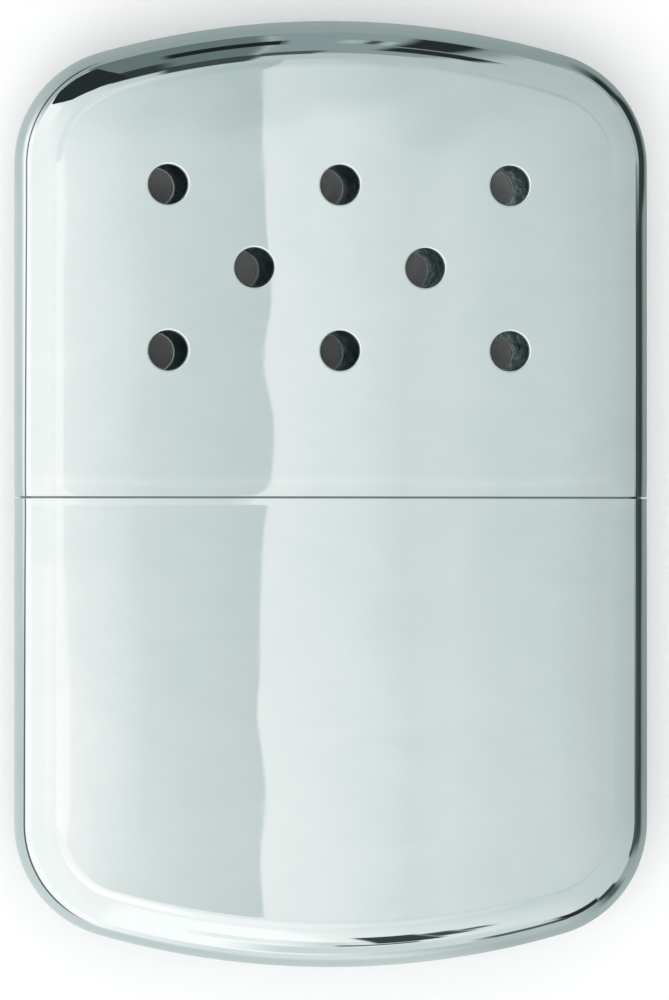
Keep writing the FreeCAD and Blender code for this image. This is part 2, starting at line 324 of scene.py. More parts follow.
def platedNickel():
    # nickel over a drawn brass tube: a warm grey metal, polished in rings by the burner's sleeve
    form = nickelForm
    look, tree, place = newLook("platedNickel")
    rub = grain(tree, place, form["rub"])
    bump = addNode(tree, bumping, Strength=form["rubStrength"], Distance=form["rubDepth"] * mm, Height=rub)[0]
    least, most = form["roughness"]
    rough = addNode(tree, ranging, Value=rub, i3=least, i4=most)[0]
    cloud = grain(tree, place, form["cloud"])
    tone = addNode(tree, "ShaderNodeValToRGB", {"stops": form["tones"]}, Fac=cloud)[0]
    plate = addNode(tree, coating, Metallic=1.0, Base_Color=tone, Roughness=rough, Normal=bump)[0]
    addNode(tree, "ShaderNodeOutputMaterial", Surface=plate)
    return look


steelForm = {
    "tones": ((0.0, "#C5C4C0"), (0.42, "#C0BBAE"), (0.6, "#BCAC8C"), (0.76, "#9C8270"), (0.9, "#77727C")),
    "roughness": (0.2, 0.4),
    "brush": (4, 0.12, 0.4),
    "brushDepth": 0.01,
    "brushStrength": 0.5,
    "hotFrom": 5.0,           # mm along the case, where the heat begins to show, and where it is all there
    "hotTo": 11.8,
    "heat": (-0.25, 0.5),     # the place on the tones at those two, before the drift
    "drift": (3, 3, 3),
    "driftShare": 0.5,
}


def heatedSteel():
    # stamped stainless sheet with a brushed grain, tinted straw to brown and blue where the catalyst glows
    form = steelForm
    look, tree, place = newLook("heatedSteel")
    brush = grain(tree, place, form["brush"])
    bump = addNode(tree, bumping, Strength=form["brushStrength"], Distance=form["brushDepth"] * mm,
                   Height=brush)[0]
    least, most = form["roughness"]
    rough = addNode(tree, ranging, Value=brush, i3=least, i4=most)[0]
    height = addNode(tree, "ShaderNodeSeparateXYZ", Vector=place)[1]
    start, end, (cold, hot) = form["hotFrom"] * mm, form["hotTo"] * mm, form["heat"]
    heat = addNode(tree, ranging, Value=height, i1=start, i2=end, i3=cold, i4=hot)[0]
    drift = addNode(tree, maths, multiply, i0=grain(tree, place, form["drift"]), i1=form["driftShare"])[0]
    heat = addNode(tree, maths, add, i0=heat, i1=drift)[0]
    tone = addNode(tree, "ShaderNodeValToRGB", {"stops": form["tones"]}, Fac=heat)[0]
    sheet = addNode(tree, coating, Metallic=1.0, Base_Color=tone, Roughness=rough, Normal=bump)[0]
    addNode(tree, "ShaderNodeOutputMaterial", Surface=sheet)
    return look


wireForm = {"tones": ((0.3, "#6B655E"), (0.7, "#A19C93")), "roughness": (0.3, 0.55), "spot": (1.1, 1.1, 1.1)}


def scaledWire():
    # drawn steel wire with a thin scale from the heat: dark, half matt
    look, tree, place = newLook("scaledWire")
    spot = grain(tree, place, wireForm["spot"])
    least, most = wireForm["roughness"]
    rough = addNode(tree, ranging, Value=spot, i3=least, i4=most)[0]
    tone = addNode(tree, "ShaderNodeValToRGB", {"stops": wireForm["tones"]}, Fac=spot)[0]
    metal = addNode(tree, coating, Metallic=1.0, Base_Color=tone, Roughness=rough)[0]
    addNode(tree, "ShaderNodeOutputMaterial", Surface=metal)
    return look


# glass fibre felt coated with platinum black: grey and dull, darker between its tufts
fibreForm = {
    "strands": (0.66, 0.17, 0.17),
    "tufts": (1.4, 1.4, 1.4),
    "tones": ((0.35, "#5C5B59"), (0.5, "#8A8986"), (0.66, "#B4B2AD")),
    "relief": 0.08,
    "sheen": 0.1,
    "roughness": 0.88,
}

# pressed wool felt: off-white short fibres that catch the light softly
feltForm = {
    "strands": (0.38, 0.38, 0.38),
    "tufts": (3.8, 3.8, 3.8),
    "tones": ((0.35, "#BDB39C"), (0.5, "#DAD2BF"), (0.66, "#ECE6D8")),
    "relief": 0.09,
    "sheen": 0.35,
    "roughness": 0.92,
}

# teased cotton: white and loose, with curled strands over shadowed hollows
cottonForm = {
    "strands": (2, 0.7, 0.7),
    "tufts": (5, 5, 5),
    "tones": ((0.35, "#D2CDC2"), (0.5, "#EAE7E0"), (0.66, "#F6F4EF")),
    "relief": 0.25,
    "sheen": 0.5,
    "roughness": 0.95,
}


fibreRelief, fibreSheen = 0.9, 0.5    # bump strength and sheen roughness, the same for all three


def softFibre(name, form):
    # a matted fibre: strands are its fine pattern and its relief, tufts the coarse one
    look, tree, place = newLook(name)
    fine = grain(tree, place, form["strands"], detail=5.0, twist=2.2)
    both = addNode(tree, maths, add, i0=fine, i1=grain(tree, place, form["tufts"]))[0]
    # the tone follows the fine relief too, so it is darker in its hollows: painted shade, mixed with random
    # tone from the tufts
    mean = addNode(tree, maths, multiply, i0=both, i1=0.5)[0]
    bump = addNode(tree, bumping, Strength=fibreRelief, Distance=form["relief"] * mm, Height=fine)[0]
    tone = addNode(tree, "ShaderNodeValToRGB", {"stops": form["tones"]}, Fac=mean)[0]
    mass = addNode(tree, coating, Base_Color=tone, Roughness=form["roughness"],
                   Sheen_Weight=form["sheen"], Sheen_Roughness=fibreSheen, Normal=bump)[0]
    addNode(tree, "ShaderNodeOutputMaterial", Surface=mass)
    return look


chrome, inside, satin = polishedChrome(), drawnChrome(), satinChrome()
nickel, steel, wire = platedNickel(), heatedSteel(), scaledWire()
fibre = softFibre("platinumFibre", fibreForm)
felt = softFibre("woolFelt", feltForm)
cotton = softFibre("cottonWool", cottonForm)
print("materials ready")


def caseOutline():
    # The case's rolled edge is a ball of the edge radius rolled round inside the outline, so every surface
    # is read from the ball's centre: corner arcs about the corner centres, a crown arc about the crown
    # centre, straight sides between. A corner's arc meets the crown's at the angle meet. The vents' cells
    # make up one block.
    form, vents = caseForm, ventForm
    crownY = form["halfHeight"] - form["crownRadius"]
    cornerX = form["halfWidth"] - form["cornerRadius"]
    cornerY = crownY + math.sqrt((form["crownRadius"] - form["cornerRadius"]) ** 2 - cornerX ** 2)
    columns, rows = vents["columns"], len(vents["rows"])
    blockX = columns / 2 * vents["pitchAcross"]
    blockTop = form["halfHeight"] - vents["firstRow"] + vents["pitchDown"] / 2
    blockLow = blockTop - rows * vents["pitchDown"]
    return {
        "middle": form["thickness"] / 2,
        "crownY": crownY,
        "cornerX": cornerX,
        "cornerY": cornerY,
        "meet": math.atan2(cornerY - crownY, cornerX),
        "blockX": blockX,
        "blockTop": blockTop,
        "blockLow": blockLow,
        "columnX": np.linspace(-blockX, blockX, columns * form["cellSteps"] + 1),
        "rowY": np.linspace(blockLow, blockTop, rows * form["cellSteps"] + 1),
    }


outline = caseOutline()


def faceHeight(x, depth):
    # over the middle plane, of the surface that lies depth below the face: a circle about the face's
    # centre; at the depth of the edge radius it is the height of the ball's centre
    radius = caseForm["faceRadius"]
    return outline["middle"] - radius + np.sqrt((radius - depth) ** 2 - x * x)


def faceNormal(x, depth):
    # away from the face's centre: (x / R, 0, root of 1 - (x / R)^2)
    lean = x / (caseForm["faceRadius"] - depth)
    return np.stack([lean, 0 * x, np.sqrt(1 - lean ** 2)], -1)


def shrinkAt(depth):
    # x of the ball's centre as a share of x where it touches the surface depth below the face
    return (caseForm["faceRadius"] - caseForm["edgeRadius"]) / (caseForm["faceRadius"] - depth)


def edgeAt(depth):
    # x where the face ends and the rolled edge begins
    return (caseForm["halfWidth"] - caseForm["edgeRadius"]) / shrinkAt(depth)


def rowsFrom(mouth):
    # the grid's row values from the mouth to the top of the vent block
    lower = np.linspace(mouth + caseForm["evenFrom"], outline["blockLow"], caseForm["evenRows"] + 1)[:-1]
    return np.concatenate([mouth + np.array(caseForm["mouthRows"]), lower, outline["rowY"]])


def rowAt(x, rows, depth):
    # above the block's foot a row leans so that at the sides it ends where the corner begins
    foot, top, side = outline["blockLow"], outline["blockTop"], outline["blockX"]
    lean = np.clip((np.abs(x) - side) / (edgeAt(depth) - side), 0, 1)
    top = top + (outline["cornerY"] - top) * lean
    share = np.clip((rows - foot) / (outline["blockTop"] - foot), 0, 1)
    return np.minimum(rows, foot)[:, None] + share[:, None] * (top - foot)[None]


def ballCentres(mouth, depth):
    # the ball's centres and outward directions from the left mouth over the crown to the right mouth, and how
    # many of them stand along each side
    r = caseForm["edgeRadius"]
    sideY = rowAt(np.array([edgeAt(depth)]), rowsFrom(mouth), depth)[:, 0]
    side = np.stack([np.full_like(sideY, caseForm["halfWidth"] - r), sideY], -1)
    sideOut = np.tile([1.0, 0.0], (len(sideY), 1))
    turn = np.linspace(0, outline["meet"], caseForm["cornerSteps"] + 1)[1:]
    cornerOut = np.stack([np.cos(turn), np.sin(turn)], -1)
    corner = np.array([outline["cornerX"], outline["cornerY"]]) + (caseForm["cornerRadius"] - r) * cornerOut
    reach = caseForm["crownRadius"] - r
    crownX = outline["columnX"] * shrinkAt(depth)
    crownOut = np.stack([crownX / reach, np.sqrt(1 - (crownX / reach) ** 2)], -1)
    crown = np.array([0, outline["crownY"]]) + reach * crownOut
    flip = leftRight[:2]
    where = np.concatenate([side * flip, corner * flip, crown, corner[::-1], side[::-1]])
    out = np.concatenate([sideOut * flip, cornerOut * flip, crownOut, cornerOut[::-1], sideOut[::-1]])
    return where, out, len(sideY)


def rolledEdge(where, out, depth, look, facing):
    # N turns evenly from the face's normal to the rim's outward direction; P = centre + (r - depth) N
    r = caseForm["edgeRadius"]
    face = faceNormal(where[:, 0] / (1 - r / caseForm["faceRadius"]), 0.0)
    flat = np.concatenate([out, np.zeros((len(out), 1))], 1)
    whole = np.arccos(np.clip((face * flat).sum(1), -1, 1))[:, None, None]
    t = np.linspace(0, 1, caseForm["bandSteps"] + 1)[None, :, None]
    normal = (np.sin((1 - t) * whole) * face[:, None] + np.sin(t * whole) * flat[:, None]) / np.sin(whole)
    centre = np.concatenate([where, faceHeight(where[:, :1], r)], 1)[:, None]
    front = centre + (r - depth) * normal
    points = np.concatenate([front, (front * frontBack)[:, ::-1]], 1)
    normals = np.concatenate([normal, (normal * frontBack)[:, ::-1]], 1)
    return patch(points, normals * facing, look=look)


def bowedFaces(mouth, depth, where, sides, look, facing, holes):
    # z falls away from the middle as a circle of the face radius; rows run over the vent block and then
    # on to the rolled edge
    top = where[sides - 1:len(where) - sides + 1]
    x = top[:, 0] / shrinkAt(depth)
    rows = rowAt(x, rowsFrom(mouth), depth)
    cap = np.linspace(0, 1, caseForm["capRows"] + 1)[1:, None]
    upper = rows[-1][None] + cap * (top[:, 1] - rows[-1])[None]
    y = np.concatenate([rows, upper])
    x = np.tile(x, (len(y), 1))
    normal = faceNormal(x, depth)
    keep = np.ones((y.shape[0] - 1, y.shape[1] - 1), bool)
    steps = caseForm["cellSteps"]
    left = int(np.argmin(np.abs(x[0] + outline["blockX"])))
    foot = len(rowsFrom(mouth)) - len(outline["rowY"])
    for column, row in holes:
        low, start = foot + row * steps, left + column * steps
        keep[low:low + steps, start:start + steps] = False
    made = []
    for flip in (np.ones(3), frontBack):
        points = np.stack([x, y, faceHeight(x, depth)], -1) * flip
        made.append(patch(points, normal * flip * facing, keep, look))
    return made


def ventPatches(column, row):
    # From the cell's border the rings close in to the hole, roll over its edge, pass down the wall
    # and roll out again inside: radius and height both follow a quarter circle at each edge. The border
    # is walked from its lower left corner, which lies at -135 degrees.
    steps, radius = caseForm["cellSteps"], ventForm["radius"]
    x0, x1 = outline["columnX"][[column * steps, (column + 1) * steps]]
    y0, y1 = outline["rowY"][[row * steps, (row + 1) * steps]]
    a, b = np.linspace(x0, x1, steps + 1), np.linspace(y0, y1, steps + 1)
    border = np.concatenate([
        np.stack([a[:-1], np.full(steps, y0)], -1), np.stack([np.full(steps, x1), b[:-1]], -1),
        np.stack([a[:0:-1], np.full(steps, y1)], -1), np.stack([np.full(steps, x0), b[:0:-1]], -1)])
    border = np.concatenate([border, border[:1]])
    angle = np.radians(-135) + np.linspace(0, 2 * np.pi, 4 * steps + 1)
    ray = np.stack([np.cos(angle), np.sin(angle)], -1)
    middle = np.array([(x0 + x1) / 2, (y0 + y1) / 2])
    inward = np.concatenate([-ray, 0 * ray[:, :1]], 1)
    close = np.array(ventForm["rings"])[:, None, None]
    turn = np.linspace(0, np.pi / 2, caseForm["roundSteps"] + 1)[:, None, None]
    layers = ((0.0, ventForm["edgeRound"], 1.0, 0), (caseForm["sheet"], ventForm["burrRound"], -1.0, 1))
    made = []
    for flip in (np.ones(3), frontBack):
        wall = []
        for depth, soft, facing, look in layers:
            lip = middle + (radius + soft) * ray
            xy = (1 - close) * border[None] + close * lip[None]
            points = np.concatenate([xy, faceHeight(xy[..., :1], depth)], -1)
            normal = faceNormal(xy[..., 0], depth) * facing
            made.append(patch(points * flip, normal * flip, look=look))
            ring = middle + (radius + soft * (1 - np.sin(turn))) * ray[None]
            height = faceHeight(lip[:, :1], depth)
            points = np.concatenate([ring, height[None] - facing * soft * (1 - np.cos(turn))], -1)
            normal = np.cos(turn) * faceNormal(lip[:, 0], depth)[None] * facing + np.sin(turn) * inward[None]
            made.append(patch(points * flip, normal * flip, look=look))
            wall.append(np.concatenate([middle + radius * ray, height - facing * soft], 1))
        made.append(patch(np.stack(wall) * flip, np.stack([inward, inward])))
    return made


def mouthLoop(mouth, depth):
    # the closed section of the shell at its mouth, with its normals
    where, out, sides = ballCentres(mouth, depth)
    top = where[sides - 1:len(where) - sides + 1]
    x = top[:, 0] * (caseForm["faceRadius"] - depth) / (caseForm["faceRadius"] - caseForm["edgeRadius"])
    edge = rolledEdge(where[:1], out[:1], depth, 0, 1.0)
    left, leftNormal = edge["points"][0], edge["normals"][0]
    right, rightNormal = left * leftRight, leftNormal * leftRight
    front = np.stack([x, np.full_like(x, mouth), faceHeight(x, depth)], -1)
    normal = faceNormal(x, depth)
    rear, rearNormal = (front * frontBack)[::-1], (normal * frontBack)[::-1]
    points = np.concatenate([front, right[1:], rear[1:], left[::-1][1:]])
    normals = np.concatenate([normal, rightNormal[1:], rearNormal[1:], leftNormal[::-1][1:]])
    points[:, 1] = mouth
    return points, normals


def mouthRim(mouth):
    # two quarter rounds and the cut between them, carried round the mouth: P = Q + e (cos t N - sin t Y)
    soft, burr = caseForm["mouthRoundOut"], caseForm["mouthRoundIn"]
    outer, normal = mouthLoop(mouth + soft, 0.0)
    inner, innerNormal = mouthLoop(mouth + burr, caseForm["sheet"])
    down = np.array([0, -1.0, 0])
    turn = np.linspace(0, np.pi / 2, caseForm["roundSteps"] + 1)[:, None, None]
    outNormal = np.cos(turn) * normal[None] + np.sin(turn) * down
    outRound = (outer - soft * normal)[None] + soft * outNormal
    inNormal = -np.cos(turn) * innerNormal[None] + np.sin(turn) * down
    inRound = (inner + burr * innerNormal)[None] + burr * inNormal
    flat = np.stack([outRound[-1], inRound[-1]])
    return [patch(outRound, outNormal), patch(inRound, inNormal, look=1),
            patch(flat, np.broadcast_to(down, flat.shape), look=1)]


def dipMouth(mouth, isTank, grid):
    # near the mouth every point moves in along the section's outward direction n by s, and its normal
    # gains (N.n) s' along Y; t is the way from the mouth. Lid: s = dip (1 - t/length)^2. Tank:
    # s = dip t/rise up to rise, then dip (1 - u)^2 (1 + 2u), where u runs from 0 to 1 over the rest
    form = caseForm
    points, normals = grid["points"], grid["normals"]
    x, z = points[..., 0], points[..., 2]
    ballX = form["halfWidth"] - form["edgeRadius"]
    rolled = np.abs(x) > ballX
    away = np.where(rolled, x - np.sign(x) * ballX, x / (form["faceRadius"] - form["edgeRadius"]))
    rise = np.where(rolled, z - np.sign(z) * faceHeight(ballX, form["edgeRadius"]), np.sign(z))
    length = np.maximum(np.hypot(away, rise), 1e-9)
    out = np.stack([away / length, 0 * x, rise / length], -1)
    t = np.maximum(points[..., 1] - mouth, 0)
    if isTank:
        dip, climb, rest = form["tankDip"], form["tankRise"], form["tankDipLength"] - form["tankRise"]
        u = np.clip((t - climb) / rest, 0, 1)
        sink = np.where(t < climb, dip * t / climb, dip * (1 - u) ** 2 * (1 + 2 * u))
        slope = np.where(t < climb, dip / climb, -6 * dip * u * (1 - u) / rest)
    else:
        dip, whole = form["lidDip"], form["lidDipLength"]
        share = np.clip(1 - t / whole, 0, 1)
        sink, slope = dip * share ** 2, -2 * dip / whole * share
    grid["points"] = points - out * sink[..., None]
    grid["normals"] = normals + ((normals * out).sum(-1) * slope)[..., None] * np.array([0, 1.0, 0])


def raised(patches):
    # from about the middle plane to the case's place on its back
    for grid in patches:
        grid["points"] = grid["points"] + np.array([0, 0, outline["middle"]])
    return patches


def pressedShell(name, mouth, holes, isTank):
    # outside and inside surfaces, vents and mouth, all worked out as for the lid; the tank is then
    # mirrored along Y
    form = caseForm
    layers = ((0.0, form["mouthRoundOut"], 1.0, 0), (form["sheet"], form["mouthRoundIn"], -1.0, 1))
    patches = []
    for depth, soft, facing, look in layers:
        where, out, sides = ballCentres(mouth + soft, depth)
        patches.append(rolledEdge(where, out, depth, look, facing))
        patches += bowedFaces(mouth + soft, depth, where, sides, look, facing, holes)
    for column, row in holes:
        patches += ventPatches(column, row)
    patches += mouthRim(mouth)
    turned = np.array([1.0, -1.0 if isTank else 1.0, 1.0])
    for grid in patches:
        dipMouth(mouth, isTank, grid)
        grid["points"] = grid["points"] * turned
        grid["normals"] = grid["normals"] * turned
    return joinPatches(name, raised(patches), [chrome, inside])


middleColumn, topRow = ventForm["columns"] // 2, len(ventForm["rows"]) - 1
ventCells = [(middleColumn + column, topRow - row)
             for row, columns in enumerate(ventForm["rows"]) for column in columns]
lid = pressedShell("ventedLid", lidLow[1], ventCells, False)
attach(lid, "lid")
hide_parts("lid_shell")
tank = pressedShell("tankCup", -tankHigh[1], [], True)
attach(tank, "tank")
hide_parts("tank_shell")
print("case pressed:", len(lid.data.polygons), "and", len(tank.data.polygons), "faces")


def placePiece(piece, body, slotName, *nodes):
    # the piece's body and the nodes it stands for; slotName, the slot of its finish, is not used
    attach(piece, body)
    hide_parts(*nodes)
    return piece


neckForm = {
    "width": 23.6,
    "depth": 6.6,
    "corner": 2.4,
    "sheet": 0.4,
    "lipRound": 0.15,
    "flange": 0.9,
    "flangeThick": 0.8,
    "flangeRound": 0.1,
    "roundSteps": 6,
    "loopSteps": (9, 24, 5),      # of its outline: round a corner, across and down
}


def oblongLoop(corner, across, down):
    # rounded rectangle of the neck's outside, anticlockwise from the right side: points and outward
    # normals in x and z
    halfX, halfZ, r = neckForm["width"] / 2, neckForm["depth"] / 2, neckForm["corner"]
    points, normals = [], []
    for start, (sx, sz) in zip((0, 90, 180, 270), ((1, 1), (-1, 1), (-1, -1), (1, -1))):
        a = np.radians(start + np.linspace(0, 90, corner + 1))
        ray = np.stack([np.cos(a), np.sin(a)], -1)
        points.append(np.array([sx * (halfX - r), sz * (halfZ - r)]) + r * ray)
        normals.append(ray)
    around, out = [], []
    for i, count in enumerate((across, down, across, down)):
        after = (i + 1) % 4
        t = np.linspace(0, 1, count + 1)[1:-1, None]
        around += [points[i], points[i][-1:] * (1 - t) + points[after][:1] * t]
        out += [normals[i], np.repeat(normals[i][-1:], count - 1, 0)]
    return np.concatenate(around + [points[0][:1]]), np.concatenate(out + [normals[0][:1]])


def carry(loop, out, profile):
    # a profile of (growth, y, share outward, share along Y) carried round the loop: P = loop + growth * n
    growth, y, outward, up = (column[:, None] for column in np.array(profile).T)
    flat = loop[None] + growth[..., None] * out[None]
    points = np.stack([flat[..., 0], np.broadcast_to(y, flat.shape[:2]), flat[..., 1]], -1)
    turned = outward[..., None] * out[None]
    normals = np.stack([turned[..., 0], np.broadcast_to(up, flat.shape[:2]), turned[..., 1]], -1)
    return patch(points, normals)


def arc(growth, y, radius, start, end):
    # quarter round of a profile about (growth, y), from start to end degrees; 0 points outward, 90 up
    a = np.radians(np.linspace(start, end, neckForm["roundSteps"] + 1))
    return [(growth + radius * c, y + radius * s, c, s) for c, s in zip(np.cos(a), np.sin(a))]


def fillerNeck():
    # the wall with its rounded lip and the flange at its foot, as four profiles carried round the neck
    low, high = spanOf("filler_neck")
    sheet, r = neckForm["sheet"], neckForm["lipRound"]
    flange, soft = neckForm["flange"], neckForm["flangeRound"]
    top, foot, step = high[1], low[1], low[1] + neckForm["flangeThick"]
    lip = arc(-r, top - r, r, 0, 90) + arc(-sheet + r, top - r, r, 90, 180)
    wall = [(0, step, 1, 0)] + lip + [(-sheet, foot, -1, 0)]
    under = [(-sheet, foot, 0, -1), (flange - soft, foot, 0, -1)]
    edge = arc(flange - soft, foot + soft, soft, -90, 0) + arc(flange - soft, step - soft, soft, 0, 90)
    over = [(flange - soft, step, 0, 1), (0, step, 0, 1)]
    loop, out = oblongLoop(*neckForm["loopSteps"])
    patches = [carry(loop, out, line) for line in (wall, under, edge, over)]
    neck = joinPatches("fillerNeck", raised(patches), [nickel])
    return placePiece(neck, "tank", "neck_nickel", "filler_neck")


collarForm = {
    "fit": 0.12,              # between the case's inside and the collar
    "sheet": 0.4,
    "shoulder": 0.7,
    "shoulderSteps": 7,
    "footRound": 0.1,
    "wallRings": 5,
    "hole": 0.03,             # between the neck and the hole that it stands in
    "holeSteps": (40, 200, 60),
    "topRings": 8,
}


def collarWall(steps):
    # the case's own section, at each step of (depth, y, share outward, share along Y)
    points, normals = [], []
    for depth, y, outward, up in steps:
        section, out = mouthLoop(y, depth)
        points.append(section)
        normals.append(out * outward + np.array([0, up, 0]))
    return patch(np.stack(points), np.stack(normals))


def collarCup():
    # the case's own section carried up the wall and over the shoulder; the top closes in straight lines
    # to the neck
    low, high = spanOf("tank_collar")
    outer = caseForm["sheet"] + collarForm["fit"]
    sheet, r, foot = collarForm["sheet"], collarForm["shoulder"], collarForm["footRound"]
    top, under, start = high[1], high[1] - sheet, low[1]
    quarter = np.radians(np.linspace(0, 90, collarForm["shoulderSteps"] + 1))
    outside = [(outer + foot, start, 0, -1), (outer, start + foot, 1, 0)]
    wallY = np.linspace(start + foot, top - r, collarForm["wallRings"] + 1)[1:-1]
    outside += [(outer, y, 1, 0) for y in wallY]
    outside += [(outer + r - r * math.cos(a), top - r + r * math.sin(a), math.cos(a), math.sin(a))
                for a in quarter]
    inner, wall = r - sheet, outer + sheet
    within = [(wall + inner - inner * math.cos(a), under - inner + inner * math.sin(a),
               -math.cos(a), -math.sin(a)) for a in quarter[::-1]]
    within += [(wall, start + foot, -1, 0), (wall - foot, start, 0, -1)]
    base = [(wall - foot, start, 0, -1), (outer + foot, start, 0, -1)]
    patches = [collarWall(outside), collarWall(within), collarWall(base)]
    # the neck's outline again, met at the same bearing as each point of the shoulder
    dense = oblongLoop(*collarForm["holeSteps"])[0]
    bearing = np.arctan2(dense[:, 1] / (neckForm["depth"] / 2), dense[:, 0] / (neckForm["width"] / 2))
    shoulder = mouthLoop(top, outer + r)[0]
    wanted = np.arctan2(shoulder[:, 2] / outline["middle"], shoulder[:, 0] / caseForm["halfWidth"])
    hole = np.stack([np.interp(wanted, bearing, dense[:, i], period=2 * np.pi) for i in (0, 1)], -1)
    hole *= 1 + collarForm["hole"] / np.linalg.norm(hole, axis=1, keepdims=True)
    share = np.linspace(0, 1, collarForm["topRings"] + 1)[:, None, None]
    for y, up in ((top, 1.0), (under, -1.0)):
        flat = (1 - share) * shoulder[None][..., [0, 2]] + share * hole[None]
        points = np.stack([flat[..., 0], np.full(flat.shape[:2], y), flat[..., 1]], -1)
        patches.append(patch(points, np.broadcast_to(np.array([0, up, 0]), points.shape)))
    lip = np.stack([np.stack([hole[:, 0], np.full(len(hole), y), hole[:, 1]], -1) for y in (top, under)])
    inward = np.stack([-hole[:, 0], 0 * hole[:, 0], -hole[:, 1]], -1)
    patches.append(patch(lip, np.broadcast_to(inward, lip.shape)))
    collar = joinPatches("collarCup", raised(patches), [satin])
    return placePiece(collar, "tank", "collar_chrome", "tank_collar")


screenForm = {
    "wire": 0.115,
    "pitch": 0.5,
    "sides": 6,
    "perCrossing": 4,         # steps along a wire from one crossing to the next
    "fewest": 8,
    "clear": 0.02,
}


def wovenScreen(name, node, look):
    # wires both ways, each a tube along a sine wave that passes over one wire and under the next:
    # y = middle + a cos(pi (along/pitch + number)), the other set half a wave off
    low, high = spanOf(node)
    middle, pitch, width = (low[1] + high[1]) / 2, screenForm["pitch"], screenForm["wire"]
    reach = (high[1] - low[1] - width) / 2
    halfX, halfZ = high[0] - screenForm["clear"], (high[2] - low[2]) / 2 - screenForm["clear"]
    corner = neckForm["corner"] + high[0] - neckForm["width"] / 2
    turn = np.linspace(0, 2 * np.pi, screenForm["sides"] + 1)
    ring = width / 2 * np.stack([np.cos(turn), np.sin(turn)], -1)
    ringSide, ringUp = ring[None, :, 0], ring[None, :, 1]
    patches = []
    for along, half, across in (("x", halfX, halfZ), ("z", halfZ, halfX)):
        count = int((across - width) // pitch)
        for number in range(-count, count + 1):
            offset = number * pitch
            cut = max(0.0, abs(offset) - (across - corner))
            end = half - corner + math.sqrt(max(corner ** 2 - cut ** 2, 0.0)) - width / 2
            steps = max(screenForm["fewest"], int(2 * end / pitch * screenForm["perCrossing"]))
            s = np.linspace(-end, end, steps)
            phase = np.pi * (s / pitch + number) + (np.pi if along == "z" else 0)
            y = middle + reach * np.cos(phase)
            slope = -reach * np.pi / pitch * np.sin(phase)
            length = np.hypot(1, slope)
            # one side of the ring lies across the wire in the screen's plane, the other is square to wire
            # and side; the wire's two ends close to a point
            radius = np.ones((len(s), 1))
            radius[[0, -1]] = 0.0
            liftS, liftY = -slope[:, None] / length[:, None] * ringUp, 1 / length[:, None] * ringUp
            spot = [s[:, None] + liftS * radius, y[:, None] + liftY * radius, offset + ringSide * radius]
            normal = [liftS, liftY, np.broadcast_to(ringSide, liftS.shape)]
            order = 1 if along == "x" else -1
            patches.append(patch(np.stack(spot[::order], -1), np.stack(normal[::order], -1)))
    return joinPatches(name, raised(patches), [look], weldForm["fineCell"])


# soft noise: how many sine waves, the span of their frequencies, the turn their phases are drawn from, what
# brings their sum to about -1..1, and how many times finer the finer lumps are
noiseForm = {"waves": 12, "spread": (0.6, 1.8), "turn": 6.28, "level": 5, "finer": 3}


def softNoise(points, size, seed):
    # sum of sine waves in seeded directions, wavelengths about size
    draw = np.random.default_rng(seed)
    count = noiseForm["waves"]
    waves = draw.normal(size=(count, 3))
    frequency = (2 * np.pi / size) * draw.uniform(*noiseForm["spread"], (count, 1))
    waves *= frequency / np.linalg.norm(waves, axis=1, keepdims=True)
    return np.sin(points @ waves.T + draw.uniform(0, noiseForm["turn"], count)).sum(-1) / noiseForm["level"]


def lumps(points, size, seed, shares):
    # coarse and finer noise together, cut off at -1 and 1
    coarse, fine = shares
    finer = softNoise(points, size / noiseForm["finer"], seed + 1)
    return np.clip(coarse * softNoise(points, size, seed) + fine * finer, -1, 1)


plugForm = {
    "loopSteps": (8, 40, 10),
    "capRings": 9,
    "edgeSteps": 4,
    "sideRings": 5,
    "shares": (0.7, 0.3),
}
# how far each stays under its room's top, its edges' round, the height and the size of its lumps, in mm
padForm = {"under": 0.03, "soft": 0.3, "lump": 0.16, "size": 1.7, "seed": 5}
wickForm = {"under": 0.0, "soft": 0.35, "lump": 0.14, "size": 2.6, "seed": 3}


def softPlug(name, node, form, look):
    # closed plug: rings shrink to the middle at both ends, the edges are quarter rounds, and every point
    # sinks below its ideal place by up to lump, so the plug stays inside its room
    low, high = spanOf(node)
    growth, foot, top, soft = high[0] - neckForm["width"] / 2, low[1], high[1] - form["under"], form["soft"]
    ease = np.linspace(0, 1, plugForm["capRings"] + 1)
    edge = np.radians(np.linspace(0, 90, plugForm["edgeSteps"] + 1))
    side = np.linspace(foot + soft, top - soft, plugForm["sideRings"] + 1)[1:-1]
    rounds = [(soft * math.sin(a), soft * math.cos(a), math.sin(a), math.cos(a)) for a in edge]
    rings = [(t, growth - soft, foot, 0, -1) for t in ease]
    rings += [(1, growth - soft + out, foot + soft - up, sine, -cosine)
              for out, up, sine, cosine in rounds[1:]]
    rings += [(1, growth, y, 1, 0) for y in side]
    rings += [(1, growth - soft + out, top - soft + up, cosine, sine) for up, out, sine, cosine in rounds]
    rings += [(t, growth - soft, top, 0, 1) for t in ease[::-1][1:]]
    loop, loopOut = oblongLoop(*plugForm["loopSteps"])
    scale, grow, y, outward, up = (np.array(column)[:, None, None] for column in zip(*rings))
    flat = (loop[None] + grow * loopOut[None]) * scale
    points = np.stack([flat[..., 0], np.broadcast_to(y[..., 0], flat.shape[:2]), flat[..., 1]], -1)
    turned = outward * loopOut[None]
    normals = np.stack([turned[..., 0], np.broadcast_to(up[..., 0], flat.shape[:2]), turned[..., 1]], -1)
    sink = form["lump"] * 0.5 * (1 + lumps(points, form["size"], form["seed"], plugForm["shares"]))
    return joinPatches(name, raised([patch(points - normals * sink[..., None], normals)]), [look])


def relaxNormals(piece):
    # a lumpy piece takes its shading from its faces
    kept = piece.data.attributes.get("custom_normal")
    if kept:
        piece.data.attributes.remove(kept)


